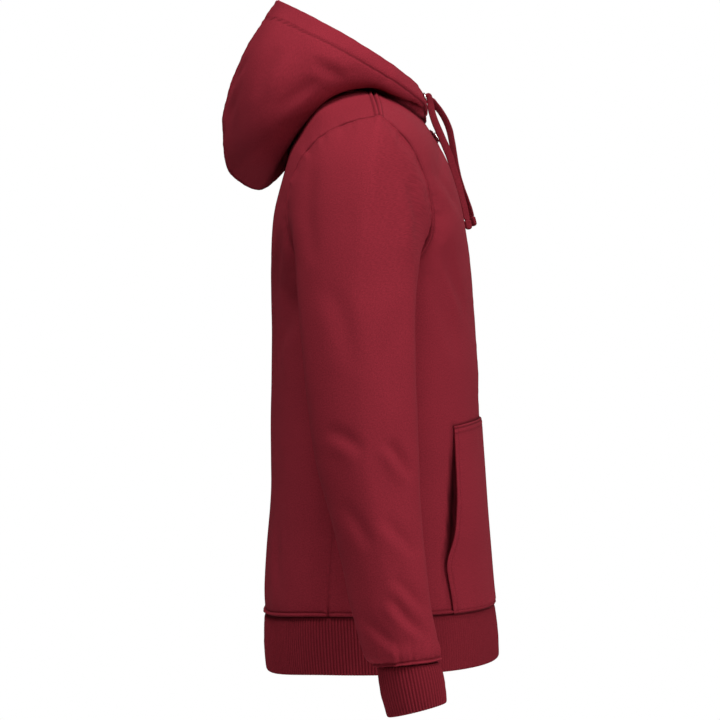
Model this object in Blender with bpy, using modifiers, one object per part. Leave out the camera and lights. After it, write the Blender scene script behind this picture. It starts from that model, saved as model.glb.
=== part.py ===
# A zip-front hoodie in its worn, hollow form: panels, sleeves, rib, hood, pockets, zip and drawcord.
# Metres. +Z is up, -Y is the wearer's front and +X the wearer's left.
# The origin is the middle of the neck at the height of the shoulders, where the wearer carries it.

import math
from collections import namedtuple

import bmesh
import bpy
import numpy as np
from mathutils import Matrix, Vector
from mathutils.kdtree import KDTree

# ---- Driving sizes ----
WALL = 0.0022             # fleece
RIB_WALL = 0.0020
TAPE_WALL = 0.0010
SEAM_GAP = 0.0003         # between pieces that meet
ZIP_HALF = 0.0048         # from the centre line to each front edge
SAME_PLACE = 1e-5         # points this close are one
CURVE_STEPS = 400         # when a curve is read finely
ARC_STEPS = 200

RIB_PITCH = 0.0035
RIB_HEIGHT = 0.0009
RIB_FADE = (0.06, -0.10)  # the hem's ribs flatten from this y to this y
RIB_FLATTER = 0.6
INNER_EVERY = 8           # rib columns to each column of the plain inside

# Rows and columns of the cloth grids
POCKET_ROWS = 6           # hem seam to the pockets' top
WAIST_ROWS = 4            # and on to the underarm
FRONT_CHEST_ROWS = 7      # underarm to the front of the neck
FRONT_NECK_ROWS = 6       # front of the neck to the shoulder seam
BACK_CHEST_ROWS = 7
BACK_NECK_ROWS = 8
PANEL_COLUMNS = 8         # centre line to side
SLEEVE_ROWS = 17
HOOD_ROWS = 18
BODY_ROWS = POCKET_ROWS + WAIST_ROWS

# ---- Body: one row of four curve points for each section, from the centre line round to the side ----
Ring = namedtuple("Ring", "height front back seam_x seam_y")
RINGS = [
    Ring(-0.6050, -0.1475, 0.1250, 0.1900, 0.048),
    Ring(-0.5850, -0.1452, 0.1260, 0.1925, 0.048),
    Ring(-0.5320, -0.1408, 0.1236, 0.1940, 0.045),
    Ring(-0.4600, -0.1352, 0.1182, 0.1960, 0.041),
    Ring(-0.4000, -0.1310, 0.1177, 0.1985, 0.037),
    Ring(-0.3320, -0.1290, 0.1172, 0.2020, 0.032),
    Ring(-0.2680, -0.1250, 0.1170, 0.2040, 0.026),
    Ring(-0.2360, -0.1225, 0.1178, 0.2050, 0.022),
]
POCKET_TOP = 4            # the ring at the pockets' top edge
HEM_TOP = Ring(-0.6050, -0.1478, 0.1248, 0.1895, 0.048)
HEM_BOTTOM = Ring(-0.6665, -0.1536, 0.1232, 0.1870, 0.046)
SIDE_DROP = 0.001         # how much lower the hem seam is at the side and at the back
BACK_DROP = 0.011
HEM_SIDE_DROP = 0.004
HEM_BACK_DROP = 0.0145
FRONT_RISE = 0.0165       # how much higher the pockets' top edge is at the zip than at the side
FRONT_REACH = 0.65        # how far each arc keeps its direction, as a share of its width
BACK_REACH = 0.62
SIDE_REACH = 0.67
SIDE_BULGE = 0.12

Arc = namedtuple("Arc", "centre centre_pull arm_pull arm")
CHEST = [
    Arc((0, -0.1195, -0.200), (0.125, -0.1205, -0.205), (0.207, -0.083, -0.213), (0.1990, -0.0250, -0.219)),
    Arc((0, -0.1125, -0.155), (0.100, -0.1155, -0.164), (0.186, -0.100, -0.178), (0.1910, -0.0585, -0.186)),
    Arc((0, -0.0985, -0.100), (0.078, -0.1045, -0.115), (0.152, -0.097, -0.138), (0.1880, -0.0680, -0.152)),
    Arc((0, -0.0838, -0.062), (0.070, -0.0965, -0.089), (0.148, -0.093, -0.120), (0.1885, -0.0665, -0.137)),
    Arc((0, -0.0650, -0.034), (0.063, -0.0860, -0.068), (0.145, -0.087, -0.104), (0.1900, -0.0645, -0.122)),
]
FRONT_NECK = [
    Arc((0.0425, -0.0566, -0.0288), (0.088, -0.0735, -0.050), (0.155, -0.074, -0.075), (0.1970, -0.0535, -0.092)),
    Arc((0.0736, -0.0338, -0.0164), (0.112, -0.0465, -0.0275), (0.168, -0.0505, -0.047), (0.209, -0.0375, -0.066)),
]
SHOULDER = Arc((0.085, -0.0025, -0.003), (0.131, -0.0045, -0.0095), (0.183, -0.0085, -0.0255), (0.222, -0.0105, -0.043))
UPPER_BACK = [
    Arc((0, 0.1178, -0.205), (0.118, 0.1178, -0.208), (0.194, 0.1000, -0.214), (0.2010, 0.0580, -0.220)),
    Arc((0, 0.1158, -0.172), (0.105, 0.1162, -0.174), (0.178, 0.1115, -0.180), (0.1975, 0.0850, -0.184)),
    Arc((0, 0.1105, -0.130), (0.092, 0.1122, -0.133), (0.158, 0.1085, -0.143), (0.1950, 0.0937, -0.148)),
    Arc((0, 0.1020, -0.098), (0.082, 0.1040, -0.102), (0.150, 0.1025, -0.112), (0.1965, 0.0905, -0.119)),
    Arc((0, 0.0900, -0.056), (0.070, 0.0955, -0.065), (0.148, 0.0930, -0.084), (0.2015, 0.0775, -0.090)),
    Arc((0, 0.0755, -0.022), (0.060, 0.0830, -0.036), (0.148, 0.0815, -0.068), (0.2050, 0.0680, -0.078)),
    Arc((0, 0.0600, 0.005), (0.055, 0.0720, -0.012), (0.150, 0.0715, -0.054), (0.2085, 0.0585, -0.0685)),
]
BACK_NECK = [
    Arc((0.0425, 0.0516, 0.005), (0.088, 0.0600, -0.010), (0.160, 0.0560, -0.042), (0.2135, 0.0405, -0.0575)),
    Arc((0.0736, 0.0288, 0.003), (0.112, 0.0330, -0.008), (0.170, 0.0270, -0.033), (0.2180, 0.0175, -0.0485)),
]

# ---- Sleeve: rings through a line down its outside and one down its inside ----
Loop = namedtuple("Loop", "out_x out_z in_x in_z middle_y half_depth front_lift")
SLEEVE = [
    Loop(0.2220, -0.043, 0.2050, -0.236, 0.0133, 0.0804, 0.0),
    Loop(0.2450, -0.055, 0.2090, -0.239, 0.0135, 0.0780, 0.0),
    Loop(0.2660, -0.078, 0.2120, -0.246, 0.0140, 0.0740, 0.0),
    Loop(0.2840, -0.114, 0.2145, -0.256, 0.0150, 0.0702, 0.0),
    Loop(0.2980, -0.164, 0.2165, -0.270, 0.0158, 0.0670, 0.0),
    Loop(0.3090, -0.228, 0.2185, -0.292, 0.0162, 0.0642, 0.0),
    Loop(0.3170, -0.297, 0.2205, -0.327, 0.0135, 0.0625, 0.0),
    Loop(0.3230, -0.365, 0.2230, -0.372, 0.0095, 0.0600, 0.0),
    Loop(0.3250, -0.430, 0.2280, -0.432, 0.0040, 0.0562, 0.0),
    Loop(0.3240, -0.490, 0.2330, -0.490, -0.0045, 0.0500, 0.0),
    Loop(0.3210, -0.545, 0.2370, -0.545, -0.0148, 0.0457, 0.002),
    Loop(0.3170, -0.595, 0.2400, -0.595, -0.0245, 0.0430, 0.004),
    Loop(0.3135, -0.632, 0.2430, -0.632, -0.0345, 0.0395, 0.006),
    Loop(0.3105, -0.6465, 0.2455, -0.6475, -0.0405, 0.0338, 0.002),
]
CUFF_TOP = SLEEVE[-1]
CUFF_BOTTOM = Loop(0.3085, -0.6955, 0.2480, -0.6985, -0.0502, 0.0318, 0.008)
SLEEVE_CROWDING = 0.9     # under 1, rows crowd towards the cuff
ARMHOLE_FADE = 0.35       # share of the sleeve over which the armhole's own outline dies away

# ---- Hood, lying back: one row of curve points for each bearing, 0 at the throat, 180 behind ----
Fold = namedtuple("Fold", "bearing rise under fold heel belly upper")
HOOD = [
    Fold(0, (0.0048, -0.0665, -0.030), (0.0048, -0.0675, -0.026), (0.0048, -0.0690, -0.021),
         (0.0048, -0.0695, -0.016), (0.0048, -0.0690, -0.011), (0.0048, -0.0675, -0.005)),
    Fold(30, (0.0435, -0.0575, -0.023), (0.0470, -0.0595, -0.019), (0.0520, -0.0625, -0.017),
         (0.0570, -0.0635, -0.013), (0.0600, -0.0620, -0.008), (0.0610, -0.0580, 0.000)),
    Fold(60, (0.0750, -0.0335, -0.008), (0.0830, -0.0340, -0.005), (0.0925, -0.0345, -0.0105),
         (0.1010, -0.0340, -0.0065), (0.1065, -0.0310, 0.005), (0.1070, -0.0260, 0.017)),
    Fold(90, (0.0870, -0.0015, 0.006), (0.1000, 0.0010, 0.0035), (0.1140, 0.0050, -0.0025),
         (0.1250, 0.0090, 0.0025), (0.1320, 0.0160, 0.021), (0.1280, 0.0210, 0.041)),
    Fold(120, (0.0770, 0.0310, 0.012), (0.1000, 0.0430, 0.001), (0.1210, 0.0570, -0.0180),
         (0.1325, 0.0650, -0.0115), (0.1385, 0.0720, 0.012), (0.1230, 0.0760, 0.055)),
    Fold(150, (0.0460, 0.0580, 0.013), (0.0790, 0.0865, -0.043), (0.0910, 0.1070, -0.083),
         (0.1100, 0.1260, -0.072), (0.1180, 0.1380, -0.018), (0.0900, 0.1280, 0.058)),
    Fold(180, (0.0, 0.0690, 0.012), (0.0, 0.1095, -0.094), (0.0, 0.1300, -0.1110),
         (0.0, 0.1650, -0.096), (0.0, 0.1775, -0.040), (0.0, 0.1550, 0.045)),
]
NECK_HALF_WIDTH = 0.085
NECK_MIDDLE_Y = -0.0025
NECK_HALF_DEPTH = 0.0625
FACE_HALF_WIDTH = 0.117   # the face opening is a tilted oval
FACE_MIDDLE = (0.0235, 0.057)
FACE_HALF = (0.089, 0.057)
FACE_SWAY = 0.003         # fuller over the cheek, lower behind

# ---- Pockets: how far out their edge is at each height ----
PocketEdge = namedtuple("PocketEdge", "height out gape")
POCKET = [
    PocketEdge(-0.3970, 0.1520, 0.0),
    PocketEdge(-0.4300, 0.1545, 0.003),
    PocketEdge(-0.4700, 0.1565, 0.006),
    PocketEdge(-0.5100, 0.1595, 0.006),
    PocketEdge(-0.5300, 0.1630, 0.003),
    PocketEdge(-0.5460, 0.1668, 0.0),
    PocketEdge(-0.5750, 0.1626, 0.0),
    PocketEdge(-0.6035, 0.1575, 0.0),
]
POCKET_EDGE_NEAR = 0.157  # where those heights are read on each row
POCKET_FULLNESS = 0.0022  # how far the pocket stands off the front in its middle
POCKET_SEWN = 4           # panel columns that the pocket follows, before its free side
POCKET_FREE = 3
POCKET_GAP = 0.0006

# ---- Zip ----
CHAIN_HALF = 0.0029
CHAIN_THICK = 0.0024
TAPE_EDGE = 0.0033
TAPE_WIDTH = 0.0115
TAPE_BEHIND = WALL + 0.0008
TAPE_LEAN = 0.104         # how far back the tape lies for each metre outwards
ZIP_TOP = -0.0385
ZIP_ROWS = (-0.605, -0.530, -0.460, -0.390, -0.330, -0.268, -0.200, -0.155, -0.115, -0.085)
CHAIN_SHORT = 0.0008      # gap below the slider
SLIDER_AT = -0.0480       # height of the slider's middle
SLIDER_SIZE = (0.0084, 0.0042, 0.0105)
BAIL_RADIUS = 0.0021
BAIL_WIRE = 0.0006
PULL_SIZE = (0.0062, 0.0013, 0.0215)
PULL_STANDOFF = 0.0013    # from the slider's face to the pull's axis
PULL_EYE = (0.0030, 0.0040)
PULL_RIM = 0.0008         # metal above the eye
SLIDER_FORWARD = 0.0006
BAIL_ABOVE = 0.0012       # above the slider's middle
SLOPE_STEP = 0.006        # each way from the slider when its lean is read
METAL_EDGE = 0.0005       # rounding of the pull's edges
EYE_EDGE = 0.0004
SLIDER_EDGE = 0.0012
CORD_END_EDGE = 0.0015
TAB_SIZE = (0.0065, 0.0130)
TAB_WALL = 0.0016
TAB_OFF = 0.0004          # off the front's surface, and out from its edge

# ---- Drawcord: hand-placed routes from each eyelet down the chest ----
CORD_RADIUS = 0.0024
EYELET_OUT = 0.027
EYELET_SHARE = 0.86       # from the neck seam to the face edge
EYELET_RADIUS = 0.0045
EYELET_WIRE = 0.0009
CORD_RIGHT = [
    (-0.0268, -0.0716, -0.0100), (-0.0264, -0.0733, -0.0200), (-0.0256, -0.0766, -0.0320),
    (-0.0246, -0.0815, -0.0450), (-0.0236, -0.0871, -0.0589), (-0.0226, -0.0927, -0.0725),
    (-0.0217, -0.0987, -0.0895), (-0.0211, -0.1043, -0.1048), (-0.0207, -0.1094, -0.1217),
    (-0.0206, -0.1136, -0.1371), (-0.0206, -0.1158, -0.1480),
]
CORD_LEFT = [
    (0.0268, -0.0750, -0.0020), (0.0263, -0.0800, -0.0080), (0.0256, -0.0860, -0.0160),
    (0.0248, -0.0918, -0.0262), (0.0240, -0.0960, -0.0370), (0.0230, -0.0988, -0.0500),
    (0.0220, -0.1011, -0.0640), (0.0212, -0.1038, -0.0800), (0.0206, -0.1072, -0.0950),
    (0.0202, -0.1116, -0.1086), (0.0199, -0.1160, -0.1200), (0.0198, -0.1204, -0.1328),
    (0.0198, -0.1228, -0.1420),
]
CORD_POINTS = 26
CORD_END = (0.0095, 0.0058, 0.0130)

# ---- Largest folds: soft troughs between two places on a piece ----
Crease = namedtuple("Crease", "piece start end depth half_width")
CREASES = [
    Crease("sleeve", (0.300, -0.050, -0.452), (0.318, -0.036, -0.505), 0.006, 0.015),
    Crease("sleeve", (0.290, 0.060, -0.130), (0.304, 0.050, -0.235), 0.004, 0.016),
    Crease("sleeve", (0.250, -0.052, -0.250), (0.285, -0.050, -0.275), 0.004, 0.015),
]

CLOTH = ("wine fleece", (0.235, 0.022, 0.036), 0.92, 0.0)
RIB = ("wine rib knit", (0.165, 0.015, 0.026), 0.94, 0.0)
TAPE = ("wine woven tape", (0.110, 0.010, 0.018), 0.85, 0.0)
CORD = ("wine braid", (0.170, 0.015, 0.026), 0.90, 0.0)
CHAIN = ("wine zip chain", (0.120, 0.011, 0.019), 0.55, 0.0)
METAL = ("nickel", (0.560, 0.555, 0.540), 0.30, 1.0)


def material(finish):
    name, colour, roughness, metallic = finish
    made = bpy.data.materials.get(name)
    if made is None:
        made = bpy.data.materials.new(name)
        made.use_nodes = True
        shader = made.node_tree.nodes["Principled BSDF"]
        shader.inputs["Base Color"].default_value = (*colour, 1)
        shader.inputs["Roughness"].default_value = roughness
        shader.inputs["Metallic"].default_value = metallic
    return made


# ---- Curves and surfaces ----
def smooth(rows, shares):
    """Rows read from a smooth curve through the given ones, at shares of its length."""
    rows = np.asarray(rows, float)
    steps = np.linalg.norm(np.diff(rows.reshape(len(rows), -1), axis=0), axis=1)
    knots = np.concatenate([[0], np.cumsum(steps)]) / steps.sum()
    spans = np.diff(knots).reshape(-1, *[1] * (rows.ndim - 1))
    slopes = np.diff(rows, axis=0) / spans
    inner = (slopes[:-1] * spans[1:] + slopes[1:] * spans[:-1]) / (spans[:-1] + spans[1:])
    tangents = np.concatenate([slopes[:1], inner, slopes[-1:]])
    shares = np.asarray(shares, float)
    span = np.clip(np.searchsorted(knots, shares, "right") - 1, 0, len(rows) - 2)
    shape = (-1, *[1] * (rows.ndim - 1))
    width = (knots[span + 1] - knots[span]).reshape(shape)
    t = ((shares - knots[span]).reshape(shape)) / width
    return (
        (2 * t**3 - 3 * t**2 + 1) * rows[span]
        + (t**3 - 2 * t**2 + t) * width * tangents[span]
        + (3 * t**2 - 2 * t**3) * rows[span + 1]
        + (t**3 - t**2) * width * tangents[span + 1]
    )


def knot_share(rows, index):
    """Share of the length at which smooth() passes the row of this index."""
    flat = np.asarray(rows, float).reshape(len(rows), -1)
    steps = np.linalg.norm(np.diff(flat, axis=0), axis=1)
    return steps[:index].sum() / steps.sum()


def arcs(rows, columns):
    """Grid of points on the cubic arc of each row of four curve points."""
    t = np.linspace(0, 1, columns + 1)
    weights = np.stack([(1 - t) ** 3, 3 * t * (1 - t) ** 2, 3 * t**2 * (1 - t), t**3])
    return np.einsum("rkx,kc->rcx", rows, weights)


def ring_arcs(ring, side_drop, back_drop, rise=0.0):
    """The front and the back arc of one level section of the body."""
    side = np.array([ring.seam_x, ring.seam_y, ring.height - side_drop])
    front_y = ring.front
    if rise:
        front_y = np.interp(ring.height + rise, [r.height for r in RINGS], [r.front for r in RINGS])
    front = np.array([ZIP_HALF, front_y, ring.height + rise])
    back = np.array([0, ring.back, ring.height - back_drop])
    swing = np.array([SIDE_BULGE * ring.seam_x, -SIDE_REACH * (ring.seam_y - ring.front), 0])
    follow = -swing / np.linalg.norm(swing) * SIDE_REACH * (ring.back - ring.seam_y)
    front_arc = [front, front + [FRONT_REACH * ring.seam_x, 0, 0], side + swing, side]
    back_arc = [back, back + [BACK_REACH * ring.seam_x, 0, 0], side + follow, side]
    return front_arc, back_arc


def drop_at(height):
    return (RINGS[-1].height - height) / (RINGS[-1].height - RINGS[0].height)


def body_rows():
    """Curve points of the front and of the back, from the hem seam to the shoulder."""
    pairs = []
    for ring in RINGS:
        drop = drop_at(ring.height)
        rise = FRONT_RISE * np.interp(ring.height, [RINGS[k].height for k in (0, POCKET_TOP, -1)], [0, 1, 0])
        pairs.append(ring_arcs(ring, SIDE_DROP * drop, BACK_DROP * drop, rise))
    front = [pair[0] for pair in pairs] + [list(arc) for arc in (*CHEST, *FRONT_NECK, SHOULDER)]
    back = [pair[1] for pair in pairs] + [list(arc) for arc in (*UPPER_BACK, *BACK_NECK, SHOULDER)]
    front = np.array(front, float)
    front[:, 0, 0] = np.maximum(front[:, 0, 0], ZIP_HALF)
    return front, np.array(back, float)


def stops(*pairs):
    """Shares from 0, in even steps up to each stop in turn: pairs of a stop and its number of steps."""
    found, start = [0.0], 0.0
    for stop, count in pairs:
        found += list(np.linspace(start, stop, count + 1)[1:])
        start = stop
    return np.array(found)


def panel(rows, neck_from, chest_rows, neck_rows):
    """Grid of a half panel. Rows fall on the pockets' top, the underarm and the start of the neckline."""
    shares = stops(
        (knot_share(rows, POCKET_TOP), POCKET_ROWS),
        (knot_share(rows, len(RINGS) - 1), WAIST_ROWS),
        (knot_share(rows, neck_from), chest_rows),
        (1, neck_rows),
    )
    curves = smooth(rows, shares)
    sides = rows[: len(RINGS), 3]
    side_shares = stops((knot_share(sides, POCKET_TOP), POCKET_ROWS), (1, WAIST_ROWS))
    curves[: BODY_ROWS + 1, 3] = smooth(sides, side_shares)
    return arcs(curves, PANEL_COLUMNS), curves


def loop_points(loop, angles):
    """Points round a sleeve ring: 0 on the outside, a quarter turn to the back, half to the inside."""
    outside = np.array([loop[0], loop[4], loop[1]])
    inside = np.array([loop[2], loop[4], loop[3]])
    middle, arm = (outside + inside) / 2, (outside - inside) / 2
    depth = np.array([0, loop[5], -loop[6]])
    return middle + np.outer(np.cos(angles), arm) + np.outer(np.sin(angles), depth)


def ease(t):
    t = np.clip(t, 0, 1)
    return t * t * (3 - 2 * t)


def sleeve_grid(armhole):
    """Rings from the armhole, whose own outline dies away down the sleeve, to the cuff seam."""
    first = SLEEVE[0]
    arm = np.array([first.out_x - first.in_x, 0, first.out_z - first.in_z]) / 2
    middle = np.array([first.out_x + first.in_x, 2 * first.middle_y, first.out_z + first.in_z]) / 2
    offset = armhole - middle
    angles = np.unwrap(np.arctan2(offset[:, 1] / first.half_depth, offset @ arm / (arm @ arm)))
    even = np.linspace(0, 2 * math.pi, len(armhole), endpoint=False)
    left_over = armhole - loop_points(first, angles)
    shares = np.linspace(0, 1, SLEEVE_ROWS + 1) ** SLEEVE_CROWDING
    rings = []
    for share, loop in zip(shares, smooth(SLEEVE, shares)):
        turn = ease(share / ARMHOLE_FADE)
        rings.append(loop_points(loop, angles + turn * (even - angles)) + (1 - turn) * left_over)
    return np.array(rings)


def hood_grid(neck):
    """Half the hood, a column for each point of the neckline from the throat to the back."""
    bearings = np.degrees(np.arctan2(neck[:, 0] / NECK_HALF_WIDTH, (NECK_MIDDLE_Y - neck[:, 1]) / NECK_HALF_DEPTH))
    bearings[0], bearings[-1] = 0, 180
    table = np.array([[fold.rise, fold.under, fold.fold, fold.heel, fold.belly, fold.upper] for fold in HOOD])
    columns = []
    for bearing, seam in zip(bearings, neck):
        share = bearing / 180
        turn = math.radians(bearing)
        at = even_read(table, share)
        edge = (
            max(FACE_HALF_WIDTH * math.sin(turn), seam[0] if bearing < 90 else 0),
            FACE_MIDDLE[0] - FACE_HALF[0] * math.cos(turn),
            FACE_MIDDLE[1] - FACE_HALF[1] * math.cos(turn) + FACE_SWAY * math.sin(2 * turn),
        )
        section = np.array([seam, *at, edge])
        columns.append(smooth(section, np.linspace(0, 1, HOOD_ROWS + 1)))
    return np.array(columns).transpose(1, 0, 2)


def even_read(table, share):
    """One row read from evenly spaced rows by a smooth curve."""
    at = share * (len(table) - 1)
    k = min(int(at), len(table) - 2)
    t = at - k
    before = table[k - 1] if k else 2 * table[k] - table[k + 1]
    after = table[k + 2] if k + 2 < len(table) else 2 * table[k + 1] - table[k]
    bend = 2 * before - 5 * table[k] + 4 * table[k + 1] - after
    twist = 3 * (table[k] - table[k + 1]) + after - before
    return table[k] + t / 2 * (table[k + 1] - before + t * (bend + t * twist))


def normals_of(grid, wrap=False):
    """Outward normals of a grid whose rows climb and whose columns run from the front to the side."""
    if wrap:
        padded = np.concatenate([grid[:, -1:], grid, grid[:, :1]], axis=1)
        across = (padded[:, 2:] - padded[:, :-2]) / 2
    else:
        across = np.gradient(grid, axis=1)
    normal = np.cross(across, np.gradient(grid, axis=0))
    return normal / np.maximum(np.linalg.norm(normal, axis=2, keepdims=True), 1e-12)


def share_normals(sheets):
    """Gives points where sheets meet the mean of their normals, so that their walls meet too."""
    points = np.concatenate([grid.reshape(-1, 3) for grid, _ in sheets])
    apart = np.concatenate([normal.reshape(-1, 3) for _, normal in sheets])
    tree = KDTree(len(points))
    for i, point in enumerate(points):
        tree.insert(point, i)
    tree.balance()
    start = 0
    for grid, normal in sheets:
        flat = normal.reshape(-1, 3)
        for i in range(len(flat)):
            total = sum(apart[k] for _, k, _ in tree.find_range(points[start + i], SAME_PLACE))
            flat[i] = total / np.linalg.norm(total)
        start += len(flat)


def drawn_back(grid, borders):
    """The grid with the named borders moved in by half a seam gap."""
    moved = grid.copy()
    for border in borders:
        edge, near = {
            "low": ((0,), (1,)),
            "high": ((-1,), (-2,)),
            "centre": ((slice(None), 0), (slice(None), 1)),
            "side": ((slice(None), -1), (slice(None), -2)),
        }[border]
        step = moved[near] - moved[edge]
        moved[edge] += step / np.linalg.norm(step, axis=-1, keepdims=True) * SEAM_GAP / 2
    return moved


def creased(grid, normal, piece):
    """The grid pushed in along the folds of this piece."""
    moved = grid.copy()
    for crease in CREASES:
        if crease.piece != piece:
            continue
        start, end = np.array(crease.start), np.array(crease.end)
        along = end - start
        t = np.clip((grid - start) @ along / (along @ along), 0, 1)
        away = np.linalg.norm(grid - start - t[..., None] * along, axis=2)
        moved -= normal * (crease.depth * np.exp(-((away / crease.half_width) ** 2)))[..., None]
    return moved


# ---- Meshes ----
def add_object(name, mesh, finish):
    mesh.materials.append(material(finish))
    made = bpy.data.objects.new(name, mesh)
    PARTS.objects.link(made)
    return made


def mirrored(grid):
    return grid * [-1, 1, 1]


def lean(vert):
    """Height along a slanted line: a seam's two pieces put their corners in the same order by it."""
    return vert.co.z + 0.4 * abs(vert.co.x)


def cloth(name, outer, inner, finish, wrap=False, flip=False, parting=None):
    """A closed wall between two grids of points. A parting (column, row) opens the grid after that column
    from that row up. Below the row this column and the next are one, and quads lean away from them."""
    rows, columns = outer.shape[:2]
    bm = bmesh.new()
    out, back = [[[bm.verts.new(p) for p in row] for row in grid] for grid in (outer, inner)]
    column, first = parting or (-1, 0)
    spans = [j for j in range(columns if wrap else columns - 1) if j != column]
    if parting:
        for grid in (out, back):
            for i in range(first + 1):
                bm.verts.remove(grid[i][column + 1])
                grid[i][column + 1] = grid[i][column]

    def quad(a, b, c, d):
        bm.faces.new((a, d, c, b) if flip else (a, b, c, d))

    def rim(start, end, forward):
        """Wall under one outer edge. Both pieces at a seam lean its diagonal the same way."""
        a, b = (start, end) if forward else (end, start)
        corners = [out[a[0]][a[1]], out[b[0]][b[1]], back[b[0]][b[1]], back[a[0]][a[1]]]
        if lean(corners[0]) > lean(corners[1]):
            corners = corners[1:] + corners[:1]
        quad(*corners)

    for i in range(rows - 1):
        for j in spans:
            k = (j + 1) % columns
            a, b, c, d = (i, j), (i, k), (i + 1, k), (i + 1, j)
            if j < column:
                a, b, c, d = b, c, d, a
            quad(*[out[m][n] for m, n in (a, b, c, d)])
            quad(*[back[m][n] for m, n in (a, d, c, b)])
    for j in spans:
        k = (j + 1) % columns
        rim((0, j), (0, k), False)
        rim((-1, j), (-1, k), True)
    if not wrap:
        for i in range(rows - 1):
            rim((i, 0), (i + 1, 0), True)
            rim((i, -1), (i + 1, -1), False)
    if parting:
        for i in range(first, rows - 1):
            rim((i, column), (i + 1, column), False)
            rim((i, column + 1), (i + 1, column + 1), True)
    mesh = bpy.data.meshes.new(name)
    bm.to_mesh(mesh)
    bm.free()
    mesh.shade_smooth()
    return add_object(name, mesh, finish)


def ribbed(name, top, bottom, heights, thickness, finish, wrap):
    """A rib-knit band between two curves: ridges on the outer wall over a plain inside."""
    count = len(top)
    outward = band_normals(top, bottom, wrap)
    raised = outward * (heights * (np.arange(count) % 2))[:, None]
    kept = list(range(0, count, INNER_EVERY))
    if not wrap and kept[-1] != count - 1:
        kept.append(count - 1)
    bm = bmesh.new()
    out_low = [bm.verts.new(p) for p in bottom + raised]
    out_high = [bm.verts.new(p) for p in top + raised]
    in_low = {i: bm.verts.new(bottom[i] - outward[i] * thickness) for i in kept}
    in_high = {i: bm.verts.new(top[i] - outward[i] * thickness) for i in kept}
    spans = range(count if wrap else count - 1)
    for j in spans:
        k = (j + 1) % count
        bm.faces.new((out_low[j], out_low[k], out_high[k], out_high[j]))
    ends = kept + [0] if wrap else kept
    for a, b in zip(ends, ends[1:]):
        bm.faces.new((in_low[b], in_low[a], in_high[a], in_high[b]))
        fan(bm, in_low[a], in_low[b], [out_low[j % count] for j in span_of(a, b, count)], True)
        fan(bm, in_high[a], in_high[b], [out_high[j % count] for j in span_of(a, b, count)], False)
    if not wrap:
        bm.faces.new((out_low[0], out_high[0], in_high[0], in_low[0]))
        bm.faces.new((out_low[-1], in_low[count - 1], in_high[count - 1], out_high[-1]))
    mesh = bpy.data.meshes.new(name)
    bm.to_mesh(mesh)
    bm.free()
    mesh.shade_smooth()
    mesh.set_sharp_from_angle(angle=math.radians(60))
    return add_object(name, mesh, finish)


def span_of(a, b, count):
    return range(a, (b if b > a else b + count) + 1)


def fan(bm, inner_a, inner_b, outer, low):
    """Closes the rim between one inner edge and the outer points over it."""
    half = len(outer) // 2
    for j, (p, q) in enumerate(zip(outer, outer[1:])):
        corner = inner_a if j < half else inner_b
        bm.faces.new((q, p, corner) if low else (p, q, corner))
    middle = outer[half]
    bm.faces.new((middle, inner_a, inner_b) if low else (inner_a, middle, inner_b))


def band_normals(top, bottom, wrap):
    middle = (top + bottom) / 2
    if wrap:
        along = np.roll(middle, -1, axis=0) - np.roll(middle, 1, axis=0)
    else:
        along = np.gradient(middle, axis=0)
    normal = np.cross(along, top - bottom)
    return normal / np.linalg.norm(normal, axis=1, keepdims=True)


def evenly(points, count):
    """The polyline's points, spread evenly along it."""
    steps = np.linalg.norm(np.diff(points, axis=0), axis=1)
    length = np.concatenate([[0], np.cumsum(steps)])
    at = np.linspace(0, length[-1], count)
    return np.stack([np.interp(at, length, points[:, k]) for k in range(3)], axis=1)


def side_name(side):
    return "left" if side > 0 else "right"


# ---- Pieces ----
def build_cloth():
    front_rows, back_rows = body_rows()
    front_pit = len(RINGS) + len(CHEST) - 1
    back_pit = len(RINGS) + len(UPPER_BACK) - 1
    front, front_curves = panel(front_rows, front_pit, FRONT_CHEST_ROWS, FRONT_NECK_ROWS)
    back, _ = panel(back_rows, back_pit, BACK_CHEST_ROWS, BACK_NECK_ROWS)
    armhole = np.concatenate([back[BODY_ROWS:, -1][::-1], front[BODY_ROWS + 1 : -1, -1]])
    sleeve = sleeve_grid(armhole)[::-1]
    front_neck = front[BODY_ROWS + FRONT_CHEST_ROWS :, 0]
    neck = np.concatenate([front_neck, back[BODY_ROWS + BACK_CHEST_ROWS : -1, 0][::-1]])
    hood = hood_grid(neck)
    normals = {
        "front": normals_of(front),
        "back": -normals_of(back),
        "sleeve": normals_of(sleeve, wrap=True),
        "hood": normals_of(hood),
    }
    centre = normals["back"][:, 0]
    centre[:, 0] = 0
    normals["hood"][:, -1, 0] = 0
    grids = {"front": front, "back": back, "sleeve": sleeve, "hood": hood}
    share_normals([(grid, normals[name]) for name, grid in grids.items()])
    sleeve_outer = creased(sleeve, normals["sleeve"], "sleeve")

    borders = {"front": ("low", "high", "side"), "sleeve": ("low", "high"), "hood": ("low", "side")}
    for name, grid in (("front", front), ("sleeve", sleeve_outer), ("hood", hood)):
        outer = drawn_back(grid, borders[name])
        inner = drawn_back(grid - normals[name] * WALL, borders[name])
        if name == "front":
            outer, inner = (neck_drawn_back(g, BODY_ROWS + FRONT_CHEST_ROWS) for g in (outer, inner))
        cloth(f"{name}_left", outer, inner, CLOTH, wrap=name == "sleeve")
        cloth(f"{name}_right", mirrored(outer), mirrored(inner), CLOTH, wrap=name == "sleeve", flip=True)
    build_back(back, normals["back"])
    return front_rows, front_curves, hood, normals


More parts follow.
